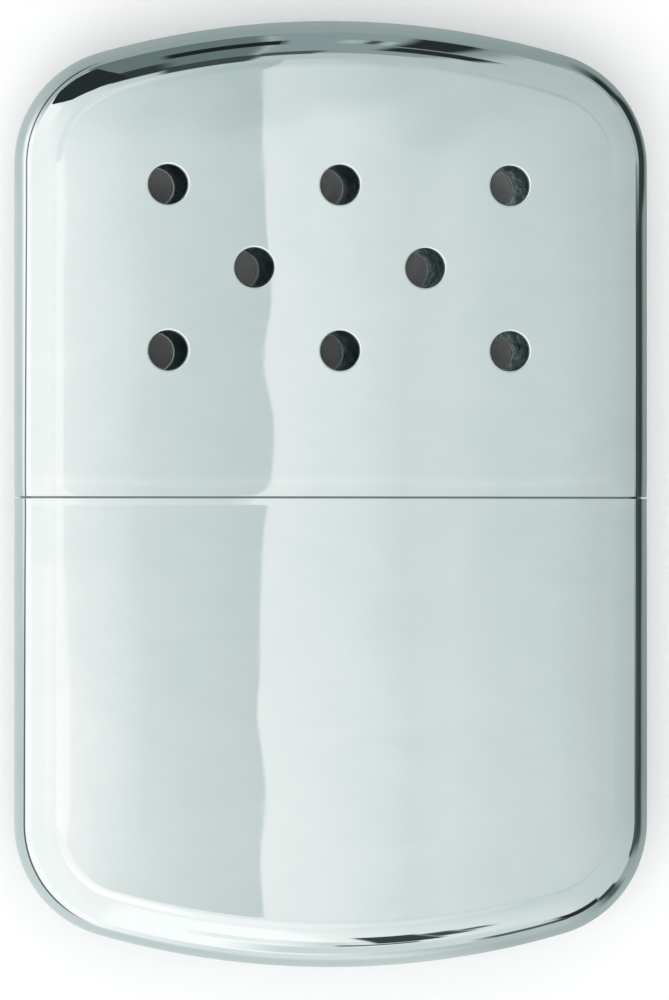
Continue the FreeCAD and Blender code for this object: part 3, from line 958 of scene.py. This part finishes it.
strayForm = {
    "count": 170,
    "seed": 11,
    "width": 0.035,
    "length": 2.4,
    "lengths": (0.4, 1.0),    # shares of it
    "steps": 9,
    "sides": 3,
    "inset": (1.5, 1.2),      # where a fibre may start, from the mat's sides and from its front and back
    "edge": 0.3,              # and how near to them it may come
    "sunk": 0.12,             # its ends, below the mat's highest point
    "arch": 0.09,
    "arches": (0.2, 1.0),
    "wander": 0.28,           # how much it turns at each step, in radians
    "taper": 0.3,
}


def strayFibres(name, node, look):
    # short arcs of fibre lying on the mat's top: each follows a turning direction, P = start + sum of steps
    form = strayForm
    low, high = spanOf(node)
    middle, steps, edge, (insetX, insetZ) = outline["middle"], form["steps"], form["edge"], form["inset"]
    draw = np.random.default_rng(form["seed"])
    turn = np.linspace(0, 2 * np.pi, form["sides"] + 1)
    rise = np.sin(np.linspace(0, np.pi, steps))
    patches = []
    for _ in range(form["count"]):
        startX = draw.uniform(low[0] + insetX, high[0] - insetX)
        startZ = draw.uniform(low[2] + insetZ, high[2] - insetZ) - middle
        heading = draw.uniform(0, 2 * np.pi) + np.cumsum(draw.normal(0, form["wander"], steps))
        length = form["length"] * draw.uniform(*form["lengths"]) / steps
        x = np.clip(startX + np.cumsum(np.cos(heading)) * length, low[0] + edge, high[0] - edge)
        z = startZ + np.cumsum(np.sin(heading)) * length
        z = np.clip(z, low[2] + edge - middle, high[2] - edge - middle)
        y = high[1] - form["sunk"] + form["arch"] * rise * draw.uniform(*form["arches"])
        taper = rise[:, None] ** form["taper"] * form["width"] / 2
        sideX, sideZ = -np.sin(heading)[:, None], np.cos(heading)[:, None]
        c, s = np.cos(turn)[None], np.sin(turn)[None]
        points = np.stack([x[:, None] + sideX * c * taper, y[:, None] + s * taper,
                           z[:, None] + sideZ * c * taper], -1)
        normals = np.stack([sideX * c, np.broadcast_to(s, points.shape[:2]), sideZ * c], -1)
        patches.append(patch(points, normals))
    return joinPatches(name, raised(patches), [look], weldForm["fineCell"])


collarCup()
fillerNeck()
for name, node in (("lowerScreen", "lower_gauze"), ("upperScreen", "upper_gauze")):
    placePiece(wovenScreen(name, node, wire), "burner", "wire_gauze", node)
mat = softPlug("catalystPad", "catalyst_mat", padForm, fibre)
relaxNormals(mat)
placePiece(mat, "burner", "catalyst_fibre", "catalyst_mat")
strays = strayFibres("catalystStrays", "catalyst_mat", fibre)
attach(strays, "burner")
wick = softPlug("feltWick", "wick_felt", wickForm, felt)
relaxNormals(wick)
placePiece(wick, "tank", "wool_felt", "wick_felt")
for node in ("burner_skirt", "burner_tray", "burner_cage"):
    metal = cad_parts[node].data
    metal.materials.clear()
    metal.materials.append(steel)
print("burner and neck made")


packForm = {
    "wads": 4,
    "voxel": 0.75,
    "weld": 0.001,
    "sink": 0.9,              # the deepest hollows of the cotton, and the size of its lumps
    "lump": 7.0,
    "seed": 20,
    "feltSink": 0.25,
    "feltLump": 4.0,
    "feltSeed": 31,
    "least": 0.12,            # every point sinks by at least this share
    "shares": (0.65, 0.35),
}


def stuffed(name, node, look, sink, size, seed):
    # the room's own shape remeshed, then every point sinks along its normal by a soft noise, so the piece
    # stays inside its room
    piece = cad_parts[node].copy()
    piece.data = piece.data.copy()
    piece.name = piece.data.name = name
    piece.parent = None
    for key in [k for k in piece.keys() if k.startswith("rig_")]:
        del piece[key]
    bpy.context.scene.collection.objects.link(piece)
    shape = bmesh.new()
    shape.from_mesh(piece.data)
    bmesh.ops.remove_doubles(shape, verts=shape.verts, dist=packForm["weld"] * mm)
    shape.to_mesh(piece.data)
    shape.free()
    remesh = piece.modifiers.new("remesh", "REMESH")
    remesh.mode = "VOXEL"
    remesh.voxel_size = packForm["voxel"] * mm
    remesh.use_smooth_shade = True
    made = bpy.data.meshes.new_from_object(piece.evaluated_get(bpy.context.evaluated_depsgraph_get()))
    piece.modifiers.clear()
    piece.data = made
    count = len(made.vertices)
    points, normals = np.empty(count * 3), np.empty(count * 3)
    made.vertices.foreach_get("co", points)
    made.vertices.foreach_get("normal", normals)
    points, normals = points.reshape(-1, 3), normals.reshape(-1, 3)
    noise = lumps(points / mm, size, seed, packForm["shares"])
    points = points - normals * (sink * mm * (packForm["least"] + 0.5 * (1 + noise)))[:, None]
    made.vertices.foreach_set("co", points.ravel())
    made.update()
    made.materials.clear()
    made.materials.append(look)
    made.polygons.foreach_set("material_index", [0] * len(made.polygons))
    made.polygons.foreach_set("use_smooth", [True] * len(made.polygons))
    return piece


for number in range(1, packForm["wads"] + 1):
    node = "packing_wad_%d" % number
    seed = packForm["seed"] + number
    wad = stuffed("cottonWad%d" % number, node, cotton, packForm["sink"], packForm["lump"], seed)
    placePiece(wad, "tank", "cotton_wadding", node)
feltLumps = packForm["feltSink"], packForm["feltLump"], packForm["feltSeed"]
pad = stuffed("feltPad", "packing_felt", felt, *feltLumps)
placePiece(pad, "tank", "wool_felt", "packing_felt")
print("tank packed")


# the studio; radiances are what a mirror sees, 1 is white
stageForm = {
    "floorHalf": 6.0,         # m
    "floorDrop": 0.4,         # mm below the case
    "floorWhite": (0.8, 0.99),    # under the lamps, and to the camera and to mirrors
    "skyLight": 0.82,         # plain even light on everything that isn't a mirror
    "sunStrength": 0.85,
    "sunAngle": 50.0,         # degrees, so the shadow is soft
    "sunFrom": (-0.35, -0.4, 1.0),
}

# red in the room's greys as a share of green and blue: in the dark, and its gains with radiance, each as
# where it starts, how long it takes and how much it is
castForm = {"dark": 0.77, "gains": ((0.15, 0.47, 0.155), (0.75, 0.3, 0.105))}

# the room by angle in degrees: across (leanX) and along (leanY) over the case, and round the horizon
# (bearing: 0 right, 90 far, -90 near); fall is the angle from straight overhead
roomForm = {
    "across": ((-10, 1.1), (-4, 1.08), (0, 0.96), (5, 0.945), (8.3, 0.883), (11, 0.8), (13.3, 0.81),
               (15.5, 0.763), (17.7, 0.74), (19.1, 0.69), (20, 0.65)),
    "card": ((-6, 1.02), (-4.2, 0.99), (-2.3, 0.9), (-0.5, 0.81), (1.3, 0.765), (4.9, 0.7), (10, 0.69)),
    "along": ((-12, 1.12), (-9, 1.03), (-3.6, 1.0), (-2.2, 1.01), (-1.3, 1.05), (0.4, 1.0), (1.6, 0.995),
              (1.95, 0.985), (2.2, 0.965), (2.36, 0.925), (2.6, 0.865), (14, 0.77)),
    "around": ((-180, 1.05), (-133, 1.03), (-117, 1.03), (-98, 1.05), (-89, 1.05), (-81, 1.03), (-70, 0.92),
               (-45, 0.77), (-20, 0.74), (0, 0.66), (60, 0.6), (84, 0.6), (100, 0.68), (117, 0.8),
               (132, 0.83), (147, 0.94), (168, 1.0), (180, 1.03)),
    # the grey card overhead: its middle, half its width, its near end, its corners and its soft edge
    "cardMiddle": 0.2,
    "cardHalf": 3.7,
    "cardNear": -0.8,
    "cardCorner": (0.75, 3.0),
    "cardSoft": 0.1,          # of a corner
    "blend": (20.0, 26.0),    # falls where the ceiling turns into the walls
    "sideShade": 0.12,        # how much the right wall darkens and the left one brightens towards the horizon
    # pale things in the room: bearing from and to, fall from and to, softness, radiance
    "things": ((140, 160, 57, 89, 5, 1.06), (158, 190, 42, 89, 6, 1.05),
               (-190, -128, 48, 89, 8, 1.08), (-130, -105, 54, 89, 6, 1.08)),
}


def tinted(radiance):
    # greys in the room are blue-green, the more the darker, and white is about neutral
    cast = castForm["dark"]
    for start, length, gain in castForm["gains"]:
        cast += gain * min(max((radiance - start) / length, 0.0), 1.0)
    return (radiance * cast, radiance, radiance, 1.0)


def byAngle(tree, source, pairs):
    # radiance by an angle in degrees, straight between the pairs
    low, high = pairs[0][0], pairs[-1][0]
    share = addNode(tree, ranging, i0=source, i1=float(low), i2=float(high))[0]
    stops = [((angle - low) / (high - low), tinted(radiance)) for angle, radiance in pairs]
    return addNode(tree, "ShaderNodeValToRGB", {"stops": stops}, Fac=share)[0]


def within(tree, source, low, high, soft):
    # 1 between low and high, with soft edges
    up = addNode(tree, ranging, smooth, Value=source, i1=low - soft / 2, i2=low + soft / 2)[0]
    down = addNode(tree, ranging, smooth, Value=source, i1=high + soft / 2, i2=high - soft / 2)[0]
    return addNode(tree, maths, multiply, i0=up, i1=down)[0]


def onMark(tree, bearing, fall, mark):
    # 1 on a mark, given by bearing from and to, fall from and to, and softness
    left, right, top, foot, soft = mark
    sideways, upright = within(tree, bearing, left, right, soft), within(tree, fall, top, foot, soft)
    return addNode(tree, maths, multiply, i0=sideways, i1=upright)[0]


def onCard(tree, leanX, leanY):
    # rounded rectangle: over = how far past the straight sides, in corner radii; inside where its length
    # is below 1
    half, near, (wide, deep) = roomForm["cardHalf"], roomForm["cardNear"], roomForm["cardCorner"]
    side = addNode(tree, maths, subtract, i0=leanX, i1=roomForm["cardMiddle"])[0]
    side = addNode(tree, maths, {"operation": "ABSOLUTE"}, i0=side)[0]
    overX = addNode(tree, ranging, {"clamp": False}, Value=side, i1=half, i2=half + wide)[0]
    overY = addNode(tree, ranging, {"clamp": False}, Value=leanY, i1=near, i2=near - deep)[0]
    over = addNode(tree, "ShaderNodeCombineXYZ", i0=overX, i1=overY)[0]
    over = addNode(tree, vectorMaths, {"operation": "MAXIMUM"}, i0=over)[0]
    length = addNode(tree, vectorMaths, {"operation": "LENGTH"}, i0=over)["Value"]
    soft = roomForm["cardSoft"]
    return addNode(tree, ranging, smooth, Value=length, i1=1 + soft, i2=1 - soft)[0]


def studioRoom():
    # the camera sees plain white; mirrors see a room: grey card overhead, white paper to the left and near
    # sides, grey cloth to the right
    world = bpy.data.worlds.new("studio")
    bpy.context.scene.world = world
    world.use_nodes = True
    tree = world.node_tree
    tree.nodes.clear()
    x, y, z = addNode(tree, "ShaderNodeSeparateXYZ", Vector=addNode(tree, "ShaderNodeTexCoord")["Generated"])
    turns = (("ARCTAN2", x, z), ("ARCTAN2", y, z), ("ARCTAN2", y, x), ("ARCCOSINE", z, 0.0))
    turns = [addNode(tree, maths, {"operation": turn}, i0=first, i1=second)[0]
             for turn, first, second in turns]
    degrees = {"operation": "DEGREES"}
    leanX, leanY, bearing, fall = [addNode(tree, maths, degrees, i0=turn)[0] for turn in turns]
    across, card = byAngle(tree, leanX, roomForm["across"]), byAngle(tree, leanX, roomForm["card"])
    along, around = byAngle(tree, leanY, roomForm["along"]), byAngle(tree, bearing, roomForm["around"])
    ceiling = addNode(tree, mixing, colours, i0=onCard(tree, leanX, leanY), i6=across, i7=card)[2]
    ceiling = addNode(tree, mixing, colourTimes, i0=1.0, i6=ceiling, i7=along)[2]
    rightward = addNode(tree, maths, {"operation": "ABSOLUTE"}, i0=x)[0]
    rightward = addNode(tree, maths, multiply, i0=rightward, i1=x)[0]
    shade = addNode(tree, maths, {"operation": "MULTIPLY_ADD"}, i0=rightward, i1=-roomForm["sideShade"],
                    i2=1.0)[0]
    walls = addNode(tree, vectorMaths, {"operation": "SCALE"}, i0=around, Scale=shade)[0]
    low, high = roomForm["blend"]
    rim = addNode(tree, ranging, smooth, Value=fall, i1=low, i2=high)[0]
    room = addNode(tree, mixing, colours, i0=rim, i6=ceiling, i7=walls)[2]
    for *mark, radiance in roomForm["things"]:
        here = onMark(tree, bearing, fall, mark)
        room = addNode(tree, mixing, colours, i0=here, i6=room, i7=tinted(radiance))[2]
    mirror = addNode(tree, "ShaderNodeBackground", Color=room)[0]
    even = addNode(tree, "ShaderNodeBackground", Color=1.0, Strength=stageForm["skyLight"])[0]
    white = addNode(tree, "ShaderNodeBackground", Color=1.0, Strength=1.0)[0]
    rays = addNode(tree, "ShaderNodeLightPath")
    bounced = addNode(tree, maths, add, i0=rays["Is Glossy Ray"], i1=rays["Is Transmission Ray"])[0]
    lit = addNode(tree, "ShaderNodeMixShader", i0=bounced, i1=even, i2=mirror)[0]
    seen = addNode(tree, "ShaderNodeMixShader", i0=rays["Is Camera Ray"], i1=lit, i2=white)[0]
    addNode(tree, "ShaderNodeOutputWorld", Surface=seen)


def stagePiece(name, corners, faces, look):
    # a mesh that isn't part of the object
    mesh = bpy.data.meshes.new(name)
    mesh.from_pydata(corners, [], faces)
    mesh.materials.append(look)
    piece = bpy.data.objects.new(name, mesh)
    bpy.context.scene.collection.objects.link(piece)
    return piece


def onlyForMirrors(piece):
    # neither the camera nor plain light sees it, and it throws no shadow
    piece.visible_camera = False
    piece.visible_diffuse = False
    piece.visible_shadow = False
    piece.visible_transmission = False


def square(half, height):
    # corners and face of a level square
    signs = ((-1, -1), (1, -1), (1, 1), (-1, 1))
    return [(half * x, half * y, height) for x, y in signs], [(0, 1, 2, 3)]


def plainFloor():
    # pale board: whiter to the camera and to mirrors, so that unshaded it is white and a pale shadow stays
    look, tree = newLook("paleBoard")[:2]
    rays = addNode(tree, "ShaderNodeLightPath")
    straight = addNode(tree, maths, add, i0=rays["Is Camera Ray"], i1=rays["Is Glossy Ray"])[0]
    straight = addNode(tree, maths, add, i0=straight, i1=rays["Is Transmission Ray"])[0]
    lit, seen = stageForm["floorWhite"]
    shade = addNode(tree, mixing, colours, i0=straight, i6=lit, i7=seen)[2]
    board = addNode(tree, "ShaderNodeBsdfDiffuse", Color=shade)[0]
    addNode(tree, "ShaderNodeOutputMaterial", Surface=board)
    return stagePiece("floor", *square(stageForm["floorHalf"], -stageForm["floorDrop"] * mm), look)


# a sheet just under the case that only mirrors see: a painted reflection of the floor, with painted shadow of
# the case near it; its radiance by bearing out from the case, in mm and degrees
sheetForm = {
    "half": 3.0,              # m
    "drop": 0.2,
    "corner": 20.0,
    # close: the floor next to the case as mirrors see it, darkened as painted shadow of the case
    "close": ((-180, 0.69), (-140, 0.76), (-90, 0.68), (-72, 0.53), (-30, 0.47), (0, 0.33), (30, 0.3),
              (60, 0.37), (90, 0.41), (120, 0.45), (150, 0.6), (180, 0.69)),
    "wide": ((-180, 1.15), (-112, 1.15), (-90, 0.85), (-75, 0.6), (-61, 0.58), (-52, 0.5), (-45, 0.42),
             (-38, 0.12), (-34, 0.12), (-28, 0.45), (-20, 0.4), (-13, 0.1), (0, 0.05), (46, 0.03), (60, 0.36),
             (100, 0.4), (125, 0.45), (143, 0.55), (160, 1.15), (180, 1.15)),
    "edge": (10.5, 23.0),     # reaches between which close turns into wide
    "nearShare": 0.75,        # what the reach is multiplied by at the near end
    "nearSpan": (-15.0, 5.0),     # from the near end's y to the rest's
    # light at the far right corner: bearing from and to, reach from and to, radiance, and what the reach
    # is multiplied by there
    "gleams": ((3, 34, 36.0, 50.0, 0.5, 1.8), (34, 62, 60.0, 90.0, 0.42, 1.0)),
    "gleamSoft": 8.0,
    "line": (30.0, 43.0, 4.0),    # a dark line on the left: reach from and to, and softness
    "lineShare": 0.85,        # how much it takes off
    "lineFrom": (-30.0, -45.0),   # x where it fades in
    "lineTurn": (1.6, 0.95),  # how its reach is stretched at the near and the far end
    "lineSpan": (-30.0, 30.0),    # y of those two ends
}


def mirrorSheet():
    # out is the way from a rounded frame of the case's size to the point: its length less the frame's
    # corner is the reach in mm, its direction the bearing
    form = sheetForm
    look, tree, place = newLook("mirrorSheet")
    corner = form["corner"]
    frameSize = ((caseForm["halfWidth"] - corner) * mm, (caseForm["halfHeight"] - corner) * mm, 1.0)
    opposite = tuple(-side for side in frameSize)
    inner = addNode(tree, vectorMaths, {"operation": "MAXIMUM"}, i0=place, i1=opposite)[0]
    inner = addNode(tree, vectorMaths, {"operation": "MINIMUM"}, i0=inner, i1=frameSize)[0]
    out = addNode(tree, vectorMaths, subtract, i0=place, i1=inner)[0]
    length = addNode(tree, vectorMaths, {"operation": "LENGTH"}, i0=out)["Value"]
    reach = addNode(tree, maths, {"operation": "MULTIPLY_ADD"}, i0=length, i1=1 / mm, i2=-corner)[0]
    outX, outY = addNode(tree, "ShaderNodeSeparateXYZ", Vector=out)[:2]
    turn = addNode(tree, maths, {"operation": "ARCTAN2"}, i0=outY, i1=outX)[0]
    bearing = addNode(tree, maths, {"operation": "DEGREES"}, i0=turn)[0]
    x, y = addNode(tree, "ShaderNodeSeparateXYZ", Vector=place)[:2]

    low, high = (side * mm for side in form["nearSpan"])
    nearness = addNode(tree, ranging, Value=y, i1=low, i2=high, i3=form["nearShare"], i4=1.0)[0]
    scaled = addNode(tree, maths, multiply, i0=reach, i1=nearness)[0]
    corners = []
    for left, right, start, end, radiance, share in form["gleams"]:
        here = within(tree, bearing, left, right, form["gleamSoft"])
        nearer = addNode(tree, ranging, Value=here, i3=1.0, i4=share)[0]
        scaled = addNode(tree, maths, multiply, i0=scaled, i1=nearer)[0]
        beyond = addNode(tree, ranging, smooth, Value=reach, i1=start, i2=end)[0]
        corners.append((addNode(tree, maths, multiply, i0=here, i1=beyond)[0], radiance))
    low, high = form["edge"]
    away = addNode(tree, ranging, smooth, Value=scaled, i1=low, i2=high)[0]
    close, wide = byAngle(tree, bearing, form["close"]), byAngle(tree, bearing, form["wide"])
    tone = addNode(tree, mixing, colours, i0=away, i6=close, i7=wide)[2]
    for gleam, radiance in corners:
        tone = addNode(tree, mixing, colours, i0=gleam, i6=tone, i7=tinted(radiance))[2]
    (low, high), (near, far) = (side * mm for side in form["lineSpan"]), form["lineTurn"]
    stretch = addNode(tree, ranging, Value=y, i1=low, i2=high, i3=near, i4=far)[0]
    stretched = addNode(tree, maths, multiply, i0=reach, i1=stretch)[0]
    start, full = (side * mm for side in form["lineFrom"])
    leftward = addNode(tree, ranging, smooth, Value=x, i1=start, i2=full, i3=0.0, i4=form["lineShare"])[0]
    line = addNode(tree, maths, multiply, i0=within(tree, stretched, *form["line"]), i1=leftward)[0]
    tone = addNode(tree, mixing, colours, i0=line, i6=tone, i7=0.0)[2]

    glow = addNode(tree, "ShaderNodeEmission", Color=tone)[0]
    clear = addNode(tree, "ShaderNodeBsdfTransparent")[0]
    scattered = addNode(tree, "ShaderNodeLightPath")["Diffuse Depth"]
    surface = addNode(tree, "ShaderNodeMixShader", i0=scattered, i1=glow, i2=clear)[0]
    addNode(tree, "ShaderNodeOutputMaterial", Surface=surface)
    onlyForMirrors(stagePiece("mirrorSheet", *square(form["half"], -form["drop"] * mm), look))


# from a long way off; left and low are degrees to the left of the face and below it, the rest is in m and mm
cameraForm = {
    "lens": 446.7,            # mm, as the sensor
    "sensor": 36.0,
    "distance": 1.3,
    "clipEnd": 100.0,
    "left": 8.07,
    "low": 0.41,
    "aim": (0.00031, -0.00063, 0.0065),
}


def cameraSpot():
    # aim + distance * toward, where toward is straight up, leaned left and low
    a, b = math.radians(cameraForm["left"]), math.radians(-cameraForm["low"])
    toward = Vector((-math.sin(a) * math.cos(b), math.sin(b), math.cos(a) * math.cos(b)))
    return Vector(cameraForm["aim"]) + toward * cameraForm["distance"], toward


# A curtain close round the case, with marks that are given as the room's things are. Each ray of it is hung
# from the spot of the rolled edge where the camera sees it.
curtainForm = {
    "distance": 7.0,          # mm along the ray
    "rounds": 30,             # of looking for the spot
    "nearBearings": (-110.0, 2.0, 2.0),    # from, to and step, as the falls
    "farBearings": (60.0, 118.0, 2.0),
    "falls": (22.0, 98.0, 2.0),
    "least": 0.001,           # cover that counts as a mark
    "marks": (
        (-106, -82, 30, 96, 6, 1.16), (-96, -84, 55, 66, 5, 1.0), (-90, -62, 70, 92, 8, 0.78),
        (-85, -78, 56, 72, 5, 0.8), (-77.4, -70, 46, 64, 1.5, 0.06), (-70.5, -66, 48, 59, 2.5, 0.08),
        (-66.5, -63, 50, 55, 2, 0.15), (-81.5, -73, 65, 68.5, 1.2, 0.12), (-69, -60, 84, 92, 3, 0.12),
        (-62, -42, 77, 90, 3, 0.03), (-43, -31, 83, 94, 3, 0.06), (-17, -1, 85, 94, 3, 0.1),
        (88, 112, 36, 97, 3, 0.2), (66, 88, 37, 97, 4, 0.35),
        (86.5, 100, 27, 41, 2.5, 0.07), (99, 108, 35, 55, 3, 0.05), (79.5, 88, 35, 43, 2, 0.1),
        (86.5, 98.5, 62.5, 74, 1.5, 0.02), (78.9, 81, 62, 73, 1.8, 0.5), (77.2, 78.4, 62.5, 73, 0.8, 0.1),
        (75.7, 76.9, 62, 73, 0.9, 0.5), (69, 75, 60.5, 90, 2, 0.03), (63.4, 74.8, 47, 58.5, 2.5, 0.03),
    ),
}


def hungPoints(bearings, falls, distance):
    # The edge's normal halves the ray and the way to the camera. Less the face's own lean it gives the
    # outline's turn, that gives the ball's centre, spot = centre + r normal, and the point is
    # spot + distance ray. It is found by going round, half the way each time.
    form, r = caseForm, caseForm["edgeRadius"]
    turn, drop = np.radians(bearings), np.radians(falls)
    ray = np.stack([np.sin(drop) * np.cos(turn), np.sin(drop) * np.sin(turn), np.cos(drop)], -1)
    camera = np.array(cameraSpot()[0]) / mm
    spot, centre = 0 * ray, 0 * ray[..., :2]
    for _ in range(curtainForm["rounds"]):
        away = camera - spot
        normal = ray + away / np.linalg.norm(away, axis=-1, keepdims=True)
        normal /= np.linalg.norm(normal, axis=-1, keepdims=True)
        lean = centre[..., 0] / np.sqrt((form["faceRadius"] - r) ** 2 - centre[..., 0] ** 2)
        out = np.stack([normal[..., 0] - normal[..., 2] * lean, normal[..., 1]], -1)
        outward = np.arctan2(np.abs(out[..., 1]), np.abs(out[..., 0]))
        flat = np.stack([np.cos(outward), np.sin(outward)], -1)
        crown = np.array([0, outline["crownY"]]) + (form["crownRadius"] - r) * flat
        corner = np.array([outline["cornerX"], outline["cornerY"]]) + (form["cornerRadius"] - r) * flat
        centre = (centre + np.sign(out) * np.where((outward > outline["meet"])[..., None], crown, corner)) / 2
        height = outline["middle"] + faceHeight(centre[..., :1], r)
        spot = np.concatenate([centre, height], -1) + r * normal
    return (spot + distance * ray) * mm


def gridFaces(columns, rows):
    # quads of a grid whose points are numbered down each column
    number = np.arange(columns * rows).reshape(columns, rows)
    return np.stack([number[:-1, :-1], number[1:, :-1], number[1:, 1:], number[:-1, 1:]], -1).reshape(-1, 4)


def curtainCloth():
    # clear where it has no mark; a mark lies over those before it, and alone it keeps its tone out to its
    # soft edge
    look, tree = newLook("curtainCloth")[:2]
    angles = addNode(tree, "ShaderNodeUVMap", {"uv_map": "angles"})[0]
    bearing, fall = addNode(tree, "ShaderNodeSeparateXYZ", Vector=angles)[:2]
    tone, cover = 0.0, 0.0
    for *mark, radiance in curtainForm["marks"]:
        here = onMark(tree, bearing, fall, mark)
        share = 0.0
        if cover:
            share = addNode(tree, maths, {"operation": "GREATER_THAN"}, i0=cover, i1=curtainForm["least"])[0]
        full = addNode(tree, mixing, colours, i0=here, i6=tone, i7=tinted(radiance))[2]
        tone = addNode(tree, mixing, colours, i0=share, i6=tinted(radiance), i7=full)[2]
        cover = addNode(tree, maths, {"operation": "MAXIMUM"}, i0=cover, i1=here)[0]
    glow = addNode(tree, "ShaderNodeEmission", Color=tone)[0]
    clear = addNode(tree, "ShaderNodeBsdfTransparent")[0]
    surface = addNode(tree, "ShaderNodeMixShader", i0=cover, i1=clear, i2=glow)[0]
    addNode(tree, "ShaderNodeOutputMaterial", Surface=surface)
    return look


def curtain(name, look, body, bearings):
    # a grid over bearing and fall, which are its own map too; it moves with the body whose edge shows it
    bearings, falls = np.arange(*bearings), np.arange(*curtainForm["falls"])
    faces = gridFaces(len(bearings), len(falls))
    bearings, falls = (grid.ravel() for grid in np.meshgrid(bearings, falls, indexing="ij"))
    points = hungPoints(bearings, falls, curtainForm["distance"])
    piece = stagePiece(name, points.tolist(), faces.tolist(), look)
    corners = piece.data.uv_layers.new(name="angles").data
    corners.foreach_set("uv", np.stack([bearings, falls], -1)[faces.ravel()].ravel())
    onlyForMirrors(piece)
    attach(piece, body)


# black cloth beyond the far left corner, hung in the same way: for each fold its bearing and the falls that
# it spans
clothForm = {
    "distance": 6.5,
    "folds": ((141, 81, 86), (137, 62, 89), (133, 50, 92), (126, 43, 91), (119, 38, 90), (108, 37, 88),
              (104, 37, 58)),
    "rows": 12,
    "shade": 0.03,
}


def blackCloth():
    # rows of points spread evenly down each fold; it moves with the lid
    look, tree = newLook("blackCloth")[:2]
    glow = addNode(tree, "ShaderNodeEmission", Color=tinted(clothForm["shade"]))[0]
    addNode(tree, "ShaderNodeOutputMaterial", Surface=glow)
    bearing, top, foot = np.array(clothForm["folds"], float).T
    falls = np.linspace(top, foot, clothForm["rows"], axis=1)
    bearings = np.tile(bearing[:, None], clothForm["rows"])
    points = hungPoints(bearings.ravel(), falls.ravel(), clothForm["distance"])
    piece = stagePiece("blackCloth", points.tolist(), gridFaces(*falls.shape).tolist(), look)
    onlyForMirrors(piece)
    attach(piece, "lid")


def softSun():
    # a wide sun that shines from sunFrom towards the middle; mirrors don't show it
    lamp = bpy.data.lights.new("softSun", "SUN")
    lamp.energy = stageForm["sunStrength"]
    lamp.angle = math.radians(stageForm["sunAngle"])
    sun = bpy.data.objects.new("softSun", lamp)
    bpy.context.scene.collection.objects.link(sun)
    sun.rotation_euler = (-Vector(stageForm["sunFrom"])).to_track_quat("-Z", "Y").to_euler()
    sun.visible_glossy = False


def mainCamera():
    # looks along -toward, with the far end up
    data = bpy.data.cameras.new("camera")
    data.lens = cameraForm["lens"]
    data.sensor_width = cameraForm["sensor"]
    data.clip_end = cameraForm["clipEnd"]
    camera = bpy.data.objects.new("camera", data)
    bpy.context.scene.collection.objects.link(camera)
    camera.location, toward = cameraSpot()
    right = Vector((0, 1, 0)).cross(toward).normalized()
    camera.rotation_euler = Matrix((right, toward.cross(right), toward)).transposed().to_euler()
    bpy.context.scene.camera = camera


studioRoom()
plainFloor()
mirrorSheet()
marked = curtainCloth()
curtain("nearCurtain", marked, "tank", curtainForm["nearBearings"])
curtain("farCurtain", marked, "lid", curtainForm["farBearings"])
blackCloth()
softSun()
mainCamera()
bpy.context.scene.view_settings.view_transform = "Standard"
print("stage ready")
